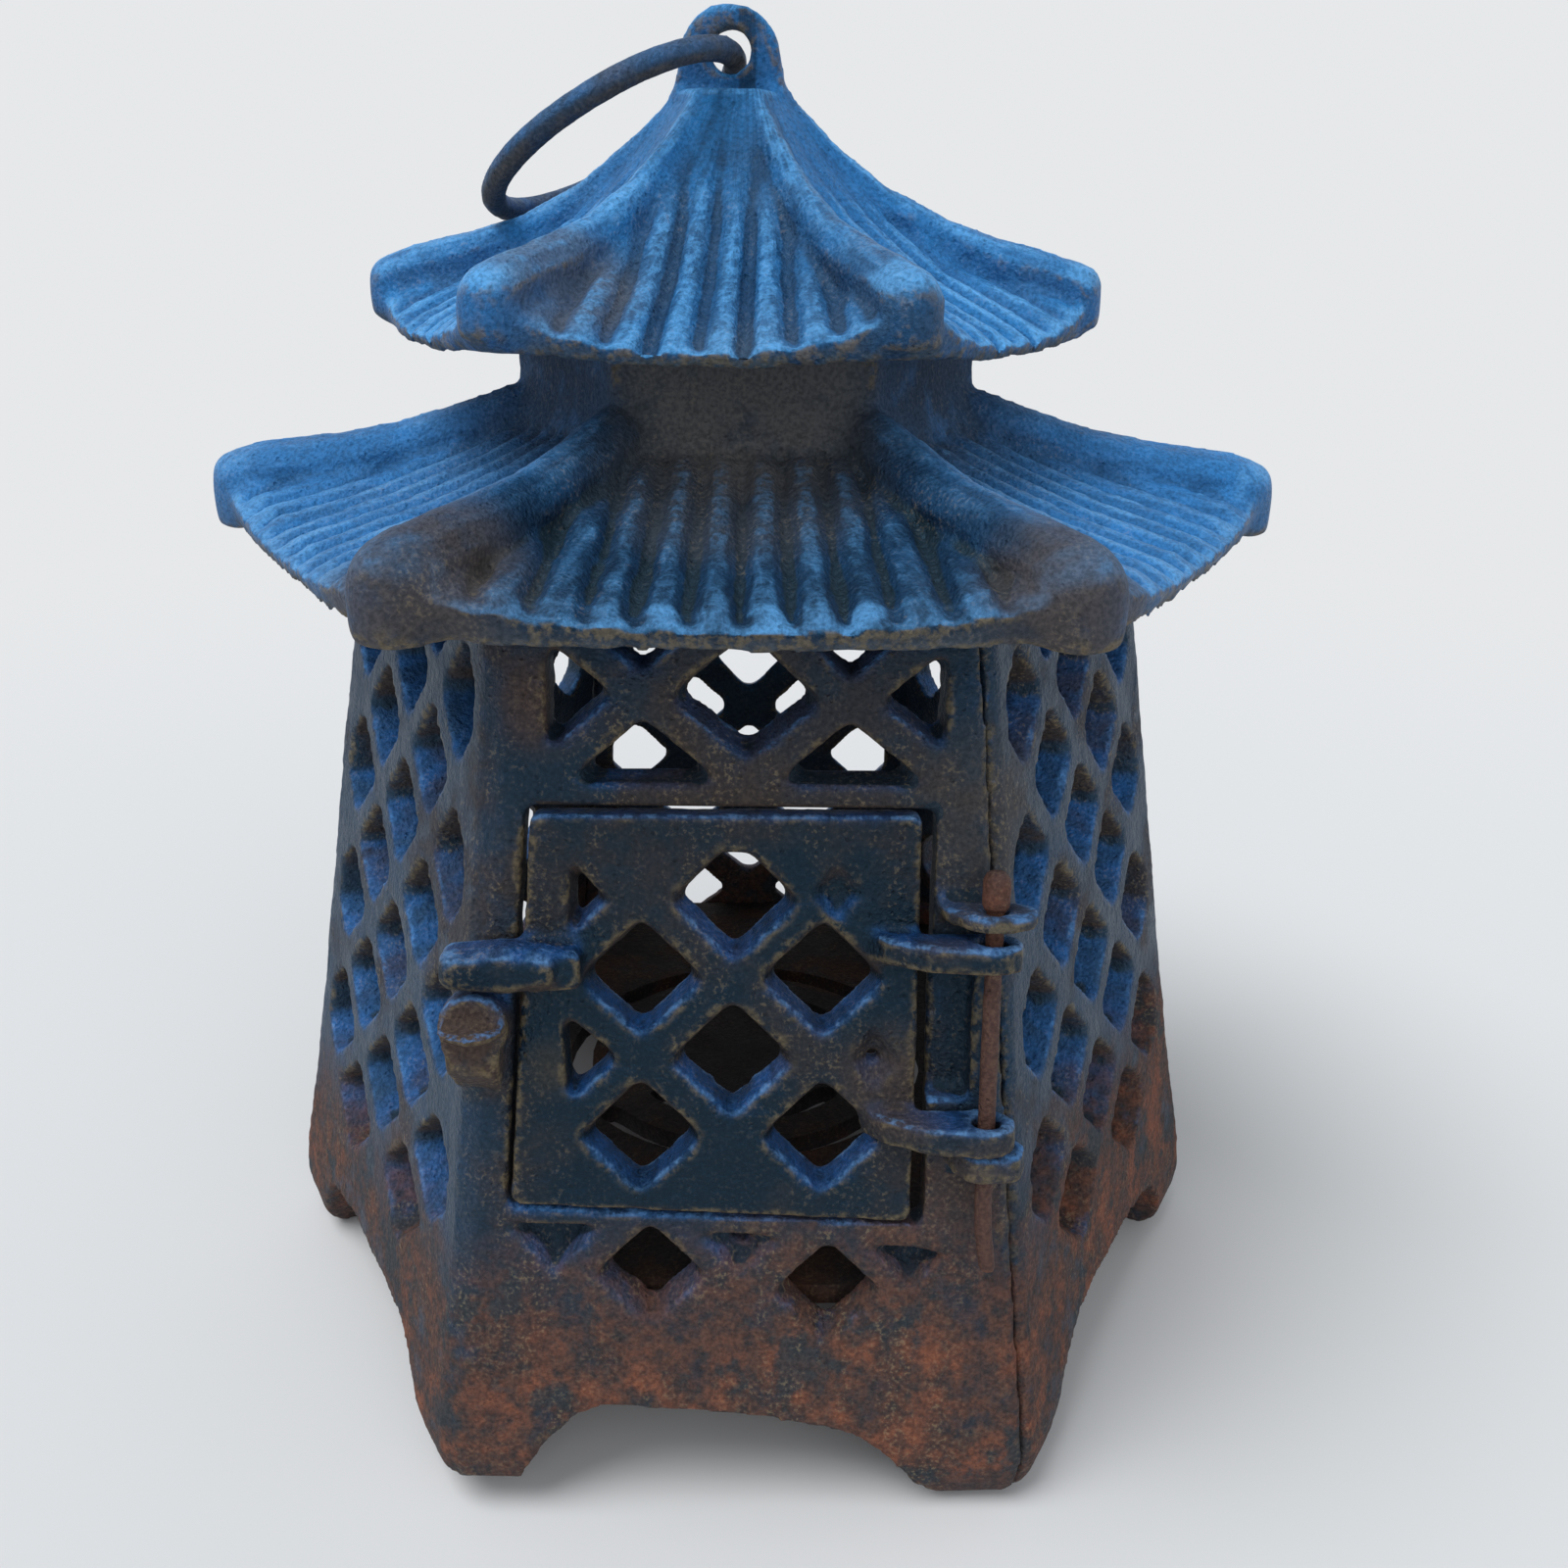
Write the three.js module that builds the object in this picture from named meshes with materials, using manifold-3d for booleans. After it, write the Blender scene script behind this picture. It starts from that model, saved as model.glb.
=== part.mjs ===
// Six-sided cast iron candle lantern in the form of a pagoda: a tapering
// lattice body on six feet, a hinged lattice door, two ribbed roofs and a wire
// ring to hang it by. Millimetres, +Z up, the front wall and its door face -Y.
// The origin is on the ground below the middle of the body.
import * as THREE from 'three';
import { mergeVertices } from 'three/addons/utils/BufferGeometryUtils.js';
import Module from 'manifold-3d';

const wasm = await Module();
wasm.setup();

// Sizes.
const SIDES = 6;
const STEP = Math.PI / 3;
const TAN = Math.tan(Math.PI / 6);
const COS = Math.cos(Math.PI / 6);

// Heights are measured from a datum GROUND below the feet. The finished
// lantern is lowered by as much, so that it stands on z = 0.
const GROUND = 7;
const BODY_TOP = 166;
const TAPER_FROM = 60;
const TAPER = 0.1775;
const WAIST_R = 92;
const FOOT_OUT = 8;
// corner radius of the body below the straight taper, as [height, radius]
const FOOT_FLARE = [
  [GROUND, 0.375], [GROUND + 2.5, 0.725], [GROUND + 6, 0.925], [GROUND + 11, 1],
  [25, 0.89], [35, 0.625], [47, 0.325], [TAPER_FROM, 0],
].map(([z, share]) => [z, WAIST_R + FOOT_OUT * share]);
// the front left foot ran short in the mould
const SHORT_FOOT = 7;
const WALL_T = 6;
const CORNER_BEVEL = 2.6;
const SEAM_GAP = 0.3;

const LATTICE_PITCH_Z = 13.6;
const LATTICE_TOP_Z = BODY_TOP - 21;
const LATTICE_ROWS = 8;
const LATTICE_COLUMN = 1 / 3;
const MESH = [0.245, 10.4];
const MESH_NARROW = 0.81;
const POST_EDGE = 0.82;
const TOP_RAIL_Z = BODY_TOP - 4.5;
const ARCH_RISE = 21;

const LINTEL_Z = 132;
const DOOR_TOP = 131.2;
const DOOR_LEFT_LOW = 66.2;
const DOOR_RIGHT_LOW = 63;
const DOOR_RIGHT = 28.2;
const DOOR_LEFT_TOP = -32.4;
const DOOR_LEFT_BOTTOM = -37.4;
const DOOR_GAP = 0.8;
const DOOR_SLOT = 2.2;
const DOOR_PROUD = 1.1;
const DOOR_T = 5.4;

const PIN_X = 39.3;
const PIN_OUT = 5.2;
const PIN_R = 1.45;
const PIN_TOP = 117.9;
const PIN_END = 57.6;
const PIN_HEAD_R = 2.2;
const PIN_HEAD_H = 6.2;
const LUG_HOLE_R = 1.8;
const EAR_HOLE_R = 2.3;
const EAR_R = 4.8;
const UPPER_LUG = [115.0, 117.6];
const UPPER_EAR = [108.4, 112.8];
const LOWER_EAR = [78.7, 83.2];
const LOWER_LUG = [73.8, 78.4];

const TAB_Z = [103.8, 111.6];
const TAB_LEFT = -46.5;
const CATCH_R = 5.6;
const CATCH_X = -41.6;
const CATCH_OUT = 7;

const FLOOR_TOP = 45.7;
const FLOOR_T = 4;
const FLOOR_GAP = 1.9;
const LEDGE_T = 5;

const EAVE_A = 86.6;
const NECK_R = 41.5;
const NECK_H = 33;
const NECK_TOP = BODY_TOP + NECK_H;
const NECK_T = 5;
const RIM_H = 4.8;
const LOWER_RIB = 7.2;
const RIB_DEPTH = 2.4;
const RIB_END = 4.4;

const UPPER_TURN = THREE.MathUtils.degToRad(-4);
const UPPER_SHIFT = -2.8;
const UPPER_EAVE_A = 57.2;
const UPPER_RIM_H = 3.3;
const UPPER_RIB = 7;
const UPPER_RIB_DEPTH = 2;
const UPPER_RIB_END = 3.8;
const PLATEAU_R = 10.8;
const PLATEAU_Z = NECK_TOP + 38.2;
const LUG_W = 17;
const LUG_T = 4.4;
const LUG_TOP = PLATEAU_Z + 13.4;
const LUG_EYE_R = 3.6;
const LUG_EYE_Z = LUG_TOP - 7.2;

const RING_R = 24.2;
const WIRE_R = 2.2;

const ROD_R = 2;
const ROD_INSET = 7.2;
const ROD_LOW = FLOOR_TOP - 11.7;
const ROD_HIGH = BODY_TOP - 2;
const BOLT_R = 2.5;
const REST = 0.3;

// Helpers.
const V = (x, y, z) => new THREE.Vector3(x, y, z);

function toSolid(geometry) {
  const g = geometry.clone();
  g.deleteAttribute('normal');
  g.deleteAttribute('uv');
  const m = mergeVertices(g, 1e-5);
  return new wasm.Manifold(new wasm.Mesh({
    numProp: 3,
    vertProperties: new Float32Array(m.attributes.position.array),
    triVerts: new Uint32Array(m.index.array),
  }));
}

// Takes out points that lie inside a flat face or on a straight edge, by
// sliding each one onto a neighbour while the surface stays where it was.
const STRAIGHT = 0.004;
function thin(points, faces) {
  const around = points.map(() => new Set());
  faces.forEach((f, i) => f.forEach((v) => around[v].add(i)));
  const area = (a, b, c) => V(0, 0, 0).crossVectors(b.clone().sub(a), c.clone().sub(a));
  const neighbours = (v) => {
    const set = new Set();
    for (const i of around[v]) for (const w of faces[i]) if (w !== v) set.add(w);
    return set;
  };
  const canSlide = (v, w, near) => {
    let shared = 0;
    for (const u of neighbours(w)) if (near.has(u)) shared += 1;
    if (shared !== 2) return false;
    for (const i of around[v]) {
      if (faces[i].includes(w)) continue;
      const was = faces[i].map((u) => points[u]);
      const now = faces[i].map((u) => points[u === v ? w : u]);
      const normal = area(...now);
      const size = normal.length();
      const sides = now.map((p, j) => p.distanceTo(now[(j + 1) % 3]));
      if (size < Math.max(...sides) * 0.02) return false;
      normal.divideScalar(size);
      if (Math.abs(points[v].clone().sub(points[w]).dot(normal)) > STRAIGHT) return false;
      if (normal.dot(area(...was)) < 0) return false;
    }
    return true;
  };
  let queue = points.map((_, v) => v);
  while (queue.length) {
    const again = new Set();
    for (const v of queue) {
      const near = neighbours(v);
      const far = (u) => points[u].distanceTo(points[v]);
      const order = [...near].sort((a, b) => far(a) - far(b));
      const w = order.find((u) => canSlide(v, u, near));
      if (w === undefined) continue;
      for (const i of around[v]) {
        if (faces[i].includes(w)) {
          for (const u of faces[i]) if (u !== v) around[u].delete(i);
          faces[i] = [];
        } else {
          faces[i] = faces[i].map((u) => (u === v ? w : u));
          around[w].add(i);
        }
      }
      around[v] = new Set();
      near.forEach((u) => again.add(u));
    }
    queue = [...again].filter((v) => around[v].size);
  }
  return faces.filter((f) => f.length);
}

function toGeometry(solid) {
  const mesh = solid.getMesh();
  const points = [];
  for (let i = 0; i < mesh.numVert; i += 1) {
    const at = i * mesh.numProp;
    points.push(V(mesh.vertProperties[at], mesh.vertProperties[at + 1], mesh.vertProperties[at + 2]));
  }
  const faces = [];
  for (let i = 0; i < mesh.triVerts.length; i += 3) faces.push([...mesh.triVerts.slice(i, i + 3)]);
  const g = new THREE.BufferGeometry();
  const kept = thin(points, faces).flat();
  const corners = kept.flatMap((v) => [points[v].x, points[v].y, points[v].z]);
  g.setAttribute('position', new THREE.Float32BufferAttribute(corners, 3));
  return withNormals(g);
}

function withNormals(g) {
  const merged = mergeVertices(g, 1e-5);
  merged.computeVertexNormals();
  return merged;
}

const join = (list) => list.reduce((a, b) => a.add(b));
const cut = (solid, list) => (list.length ? solid.subtract(join(list)) : solid);

// A closed body through rings that all have the same number of points.
// The rings turn anticlockwise as seen against the direction they advance in.
function loft(rings) {
  const n = rings[0].length;
  const points = rings.flat();
  const index = [];
  for (let r = 0; r + 1 < rings.length; r += 1) {
    for (let i = 0; i < n; i += 1) {
      const j = (i + 1) % n;
      const a = r * n + i;
      const b = r * n + j;
      index.push(a, b, b + n, a, b + n, a + n);
    }
  }
  const cap = (ring, start, flip) => {
    const normal = V(0, 0, 0);
    for (let i = 0; i < n; i += 1) {
      normal.add(V(0, 0, 0).crossVectors(ring[i], ring[(i + 1) % n]));
    }
    normal.normalize();
    const turn = new THREE.Quaternion().setFromUnitVectors(normal, V(0, 0, 1));
    const flat = ring.map((p) => {
      const q = p.clone().applyQuaternion(turn);
      return new THREE.Vector2(q.x, q.y);
    });
    for (const [a, b, c] of THREE.ShapeUtils.triangulateShape(flat, [])) {
      if (flip) index.push(start + a, start + c, start + b);
      else index.push(start + a, start + b, start + c);
    }
  };
  cap(rings[0], 0, true);
  cap(rings[rings.length - 1], (rings.length - 1) * n, false);
  const g = new THREE.BufferGeometry();
  g.setAttribute('position', new THREE.Float32BufferAttribute(points.flatMap((p) => [p.x, p.y, p.z]), 3));
  g.setIndex(index);
  let solid = toSolid(g);
  if (solid.volume() < 0) {
    g.setIndex(index.map((_, i) => index[i - (i % 3) + [0, 2, 1][i % 3]]));
    solid = toSolid(g);
  }
  return solid;
}

// Corners of a polygon rounded with short arcs of three points.
function rounded(poly, radius, parts = 2) {
  const out = [];
  const n = poly.length;
  for (let i = 0; i < n; i += 1) {
    const p = new THREE.Vector2(...poly[i]);
    const a = new THREE.Vector2(...poly[(i + n - 1) % n]).sub(p);
    const b = new THREE.Vector2(...poly[(i + 1) % n]).sub(p);
    const half = Math.acos(THREE.MathUtils.clamp(a.dot(b) / (a.length() * b.length()), -1, 1)) / 2;
    const reach = Math.min(radius / Math.tan(half), a.length() * 0.45, b.length() * 0.45);
    const start = p.clone().add(a.clone().setLength(reach));
    const end = p.clone().add(b.clone().setLength(reach));
    for (let k = 0; k <= parts; k += 1) {
      const t = k / parts;
      const q = start.clone().multiplyScalar((1 - t) * (1 - t));
      q.addScaledVector(p, 2 * t * (1 - t)).addScaledVector(end, t * t);
      out.push([q.x, q.y]);
    }
  }
  return out;
}

function extrude(shape, depth, matrix, curveSegments = 8) {
  const g = new THREE.ExtrudeGeometry(shape, { depth, bevelEnabled: false, curveSegments });
  if (matrix) g.applyMatrix4(matrix);
  return toSolid(g);
}

function cylinder(r, z0, z1, x, y, segments = 16, matrix = null) {
  const g = new THREE.CylinderGeometry(r, r, z1 - z0, segments);
  g.rotateX(Math.PI / 2);
  g.translate(x, y, (z0 + z1) / 2);
  if (matrix) g.applyMatrix4(matrix);
  return toSolid(g);
}

function polygonShape(list) {
  return new THREE.Shape(list.map(([x, y]) => new THREE.Vector2(x, y)));
}

const interpolate = (table, at) => {
  if (at <= table[0][0]) return table[0][1];
  for (let i = 1; i < table.length; i += 1) {
    if (at <= table[i][0]) {
      const [x0, y0] = table[i - 1];
      const [x1, y1] = table[i];
      return y0 + ((y1 - y0) * (at - x0)) / (x1 - x0);
    }
  }
  return table[table.length - 1][1];
};

// Body walls.
const bodyR = (z) => (z >= TAPER_FROM ? WAIST_R - TAPER * (z - TAPER_FROM) : interpolate(FOOT_FLARE, z));
const ROD_X = bodyR(BODY_TOP) - WALL_T / COS - ROD_INSET;

// Walls are numbered round from the front one. A point on a wall is given by
// its distance sideways, its height and its depth behind the outer face.
const wallAngle = (k) => -Math.PI / 2 + k * STEP;
function onWall(k, u, z, depth) {
  const c = Math.cos(wallAngle(k));
  const s = Math.sin(wallAngle(k));
  const a = bodyR(z) * COS - depth;
  return V(a * c - u * s, a * s + u * c, z);
}

// A hole through a wall that narrows evenly from the outer face inwards.
function opening(k, outline, narrow = 1, from = -6, to = WALL_T + 6) {
  const n = outline.length;
  const cu = outline.reduce((t, p) => t + p[0], 0) / n;
  const cz = outline.reduce((t, p) => t + p[1], 0) / n;
  const centre = onWall(k, cu, cz, 0);
  const face = outline.map(([u, z]) => onWall(k, u, z, 0).sub(centre));
  const ring = (depth) => {
    const middle = onWall(k, cu, cz, depth);
    const scale = 1 + (narrow - 1) * (depth / WALL_T);
    return face.map((p) => p.clone().multiplyScalar(scale).add(middle));
  };
  return loft([ring(from), ring(to)]);
}

// Three walls and their feet as one casting, open at the back.
function halfShell(firstWall) {
  const levels = [...FOOT_FLARE.map(([z]) => z), BODY_TOP];
  const rings = levels.map((z) => {
    const outer = [];
    const inner = [];
    const r = bodyR(z);
    const bevel = CORNER_BEVEL;
    for (let w = 0; w < 3; w += 1) {
      const k = firstWall + w;
      outer.push(onWall(k, -r / 2 + bevel, z, 0), onWall(k, r / 2 - bevel, z, 0));
    }
    const corner = (index, radius, shift) => {
      const angle = wallAngle(firstWall) - STEP / 2 + index * STEP;
      const p = V(Math.cos(angle) * radius, Math.sin(angle) * radius, z);
      return p.add(V(-Math.sin(angle) * shift, Math.cos(angle) * shift, 0));
    };
    const innerR = r - WALL_T / COS;
    for (let c = 3; c >= 0; c -= 1) {
      const shift = c === 3 ? -SEAM_GAP / 2 : c === 0 ? SEAM_GAP / 2 : 0;
      inner.push(corner(c, innerR, shift));
    }
    const bluntR = r - bevel * 0.5;
    return [corner(0, bluntR, SEAM_GAP / 2), ...outer, corner(3, bluntR, -SEAM_GAP / 2), ...inner];
  });
  return loft(rings);
}

function diamond(s, z, [hs, hz]) {
  return [[s - hs, z], [s, z - hz], [s + hs, z], [s, z + hz]];
}

// Part of a convex outline on the wanted side of a line across it.
function clip(poly, axis, limit, keepBelow) {
  const inside = (p) => (keepBelow ? p[axis] <= limit : p[axis] >= limit);
  const out = [];
  poly.forEach((p, i) => {
    const q = poly[(i + 1) % poly.length];
    if (inside(p)) out.push(p);
    if (inside(p) !== inside(q)) {
      const t = (limit - p[axis]) / (q[axis] - p[axis]);
      out.push([p[0] + (q[0] - p[0]) * t, p[1] + (q[1] - p[1]) * t]);
    }
  });
  return out;
}

// Lattice of one plain wall: diamonds in staggered columns, kites beside the posts.
function latticeHoles(k) {
  const holes = [];
  const middle = bodyR(105) / 2;
  for (let row = -1; row < LATTICE_ROWS; row += 1) {
    const z = LATTICE_TOP_Z - row * LATTICE_PITCH_Z;
    const columns = row % 2 === 0 ? [-2, 0, 2] : [-1, 1];
    for (const column of columns) {
      const s = column * LATTICE_COLUMN;
      let poly = diamond(s, z, MESH);
      if (column === 2) poly = clip(poly, 0, POST_EDGE, true);
      if (column === -2) poly = clip(poly, 0, -POST_EDGE, false);
      if (row === -1) poly = clip(poly, 1, TOP_RAIL_Z, true);
      const metric = rounded(poly.map(([a, b]) => [a * middle, b]), 1.8, 1);
      holes.push(opening(k, metric.map(([a, b]) => [(a / middle) * (bodyR(b) / 2), b]), MESH_NARROW));
    }
  }
  return holes;
}

// Arches between the feet, as [sideways, height over the ground]. The front
// one leans to the right.
const sideArch = [[37.5, -4], [36, 3], [31.5, 12], [26.5, 17.6], [21, 20], [11, ARCH_RISE]];
const frontArch = [
  [-38.5, -4], [-37, 9], [-32, 16], [-27.4, 20], [-22.5, 22], [-9, 21.2], [3, 19.8],
  [14, 18], [19.6, 16.2], [25.6, 11.6], [30.2, 5.6], [34.8, 0.8], [36.8, -4],
];
function archHole(k) {
  const half = sideArch.map(([u, z]) => [-u, z]);
  const arch = k === 0 ? frontArch : [...half, ...[...sideArch].reverse()];
  return opening(k, arch.map(([u, z]) => [u, GROUND + z]));
}

// Corner ledges inside the casting, on which the floor plate bears from below.
function ledge(angle) {
  const z0 = FLOOR_TOP + REST;
  const reach = 13;
  const out = bodyR(z0) - WALL_T / COS + 2.5;
  const side = reach * Math.tan(Math.PI / 3) * 0.8;
  const shape = polygonShape([
    [out, 0], [out - reach, side], [out - reach - 2, side * 0.3],
    [out - reach - 2, -side * 0.3], [out - reach, -side],
  ]);
  return extrude(shape, LEDGE_T, new THREE.Matrix4().makeRotationZ(angle).setPosition(0, 0, z0));
}

// Front wall.
// Frame of the flat part of the front wall: x sideways, z up along the wall,
// -y out of it, with its zero at the height of the middle of the door.
const FRONT_Z = 100;
const LEAN = Math.atan(TAPER * COS);
const frontFrame = new THREE.Matrix4()
  .makeRotationX(-LEAN)
  .setPosition(0, -bodyR(FRONT_Z) * COS, FRONT_Z);
const along = (z) => (z - FRONT_Z) / Math.cos(LEAN);

const flat = (list) => list.map(([x, z]) => [x, along(z)]);
function frontPrism(list, y0, y1) {
  const ring = (y) => flat(list).map(([x, z]) => V(x, y, z).applyMatrix4(frontFrame));
  return loft([ring(y0), ring(y1)]);
}

// The door and its opening narrow towards the top and are lower at the hinge.
function doorOutline(left, right, top, bottom) {
  return [
    [DOOR_LEFT_BOTTOM - left, DOOR_LEFT_LOW - bottom], [DOOR_RIGHT + right, DOOR_RIGHT_LOW - bottom],
    [DOOR_RIGHT + right, DOOR_TOP + top], [DOOR_LEFT_TOP - left, DOOR_TOP + top],
  ];
}

function frontHoles() {
  const holes = [];
  const pierce = (outline, narrow, radius) => holes.push(opening(0, rounded(outline, radius), narrow));
  // band above the door: one diamond, kites at the posts, triangles above and below
  pierce([[-11.2, 149.2], [1.1, 139.2], [12.8, 148.6], [0.9, 159.2]], 0.8, 1.6);
  pierce([[-19.2, 149.3], [-30, 140], [-29.4, 157.6]], 0.76, 1.2);
  pierce([[21, 148.4], [31.4, 156.4], [31.6, 140.8]], 0.76, 1.2);
  pierce([[-27, 135.7], [-2.6, 135.7], [-15.1, 146]], 0.76, 1.2);
  pierce([[4.8, 135.7], [29.4, 135.7], [16.7, 145.4]], 0.76, 1.2);
  pierce([[-15.1, 152.6], [-5.4, 160.6], [-24.8, 160.6]], 0.78, 0.9);
  pierce([[16.7, 151.8], [27, 160.4], [6.8, 160.4]], 0.78, 0.9);
  // doorway, with the long slot for the hinge side
  const y0 = -6;
  const y1 = WALL_T + 6;
  holes.push(frontPrism(doorOutline(DOOR_GAP, DOOR_SLOT, LINTEL_Z - DOOR_TOP, DOOR_GAP), y0, y1));
  // pocket in the post behind the pin
  holes.push(frontPrism([[29, 84.5], [37.2, 84.5], [37.2, 107], [29, 107]], -3, 3.6));
  // rail below the door: two pierced diamonds, three blind half diamonds, one bore
  pierce(diamond(-14.6, 53, [9.6, 9.2]), 0.77, 1.6);
  pierce(diamond(14.8, 49.8, [9.6, 9.2]), 0.77, 1.6);
  const blind = (poly, depth) => holes.push(opening(0, poly, 1 - (0.38 * WALL_T) / depth, -1, depth));
  blind([[-38.6, 62.2], [-30.4, 53], [-22.8, 61.8]], 4.2);
  blind([[-7.4, 60.8], [0.2, 52.8], [7.4, 59.8]], 2.6);
  blind([[20.8, 58.6], [28.8, 50.6], [35.2, 57]], 4.2);
  const bore = [];
  for (let i = 0; i < 10; i += 1) {
    const t = (i / 10) * Math.PI * 2;
    bore.push([0.3 + 1.9 * Math.cos(t), 58.6 + 1.4 * Math.sin(t)]);
  }
  holes.push(opening(0, bore));
  return holes;
}

// Plate that stands out from the front wall, square to the hinge pin.
function hingePlate([z0, z1], outline, holeR) {
  const shape = polygonShape(outline);
  const hole = new THREE.Path();
  hole.absarc(PIN_X, -PIN_OUT, holeR, 0, Math.PI * 2, true);
  shape.holes.push(hole);
  const lift = new THREE.Matrix4().makeTranslation(0, 0, along(z0));
  return extrude(shape, along(z1) - along(z0), lift, 6);
}

// Outlines of the lugs and ears, from the middle of the pin.
const aboutPin = (list) => list.map(([x, y]) => [PIN_X + x, y - PIN_OUT]);
const lugOutline = aboutPin([
  [-8.5, 7.2], [-7.9, 2.2], [-4.3, -3.2], [0.7, -4.4], [6.3, -2.8], [6.9, 2.7], [4.7, 4.4], [-2.3, 4.4],
  [-3.3, 7.2],
]);
const lowerLugOutline = aboutPin([
  [-6.1, 7.2], [-5.5, 0.7], [-2.3, -3.8], [5.1, -3.2], [6.9, 2.2], [4.7, 4.4], [1.7, 4.4], [0.7, 7.2],
]);
// The ears of the door are round about the pin, so that they clear the wall as they turn.
const ear = [[-12.9, 6.2], [-20.3, 5.6], [-16.8, 0.6], [-9.8, -3.6]];
for (let i = 0; i <= 6; i += 1) {
  const t = THREE.MathUtils.degToRad(-100 + 35 * i);
  ear.push([EAR_R * Math.cos(t), EAR_R * Math.sin(t)]);
}
ear.push([-11.3, 4.1]);
const earOutline = aboutPin(ear);

function catchLug() {
  const shape = new THREE.Shape();
  shape.absarc(0, 0, CATCH_R, 0, Math.PI * 2, false);
  const z = along(TAB_Z[0] - REST) - CATCH_R;
  const place = frontFrame.clone()
    .multiply(new THREE.Matrix4().makeTranslation(CATCH_X, 0, z))
    .multiply(new THREE.Matrix4().makeRotationX(Math.PI / 2));
  const round = extrude(shape, CATCH_OUT - 1.5, place, 10);
  const dome = new THREE.CylinderGeometry(CATCH_R * 0.72, CATCH_R, 1.6, 20);
  dome.rotateX(Math.PI / 2);
  dome.rotateX(Math.PI);
  dome.translate(0, -CATCH_OUT + 0.75, 0);
  dome.applyMatrix4(frontFrame.clone().multiply(new THREE.Matrix4().makeTranslation(CATCH_X, 0, z)));
  const stem = loft([2, -CATCH_OUT + 1.2].map((y) => {
    const s = y > 0 ? 1 : 0.55;
    const ring = [[-4.2, -13 * s], [3.6, -14 * s], [4.4, -2], [-5, -2]];
    return ring.map(([x, dz]) => V(CATCH_X + x, y, z + dz).applyMatrix4(frontFrame));
  }));
  return join([round, toSolid(dome), stem]);
}

function frontHalf() {
  const holes = [archHole(0), archHole(-1), archHole(-2), ...frontHoles()];
  holes.push(...latticeHoles(-1), ...latticeHoles(-2));
  const short = wallAngle(0) - STEP / 2;
  const reach = WAIST_R + FOOT_OUT;
  const [x, y] = [reach * Math.cos(short), reach * Math.sin(short)];
  holes.push(cylinder(28, GROUND - 4, GROUND + SHORT_FOOT, x, y, 12));
  const shell = cut(halfShell(-2), holes);
  const toWall = (solid) => {
    const m = frontFrame.elements;
    return solid.transform([...m]);
  };
  const inside = cut(join([ledge(Math.PI), ledge(-Math.PI * 2 / 3)]), []);
  return join([
    shell,
    inside,
    toWall(hingePlate(UPPER_LUG, rounded(lugOutline, 3), LUG_HOLE_R)),
    toWall(hingePlate(LOWER_LUG, rounded(lowerLugOutline, 3), LUG_HOLE_R)),
    catchLug(),
  ]);
}

function rearHalf() {
  const holes = [];
  for (const k of [1, 2, 3]) holes.push(archHole(k), ...latticeHoles(k));
  return join([cut(halfShell(1), holes), ledge(0), ledge(Math.PI / 3)]);
}

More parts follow.
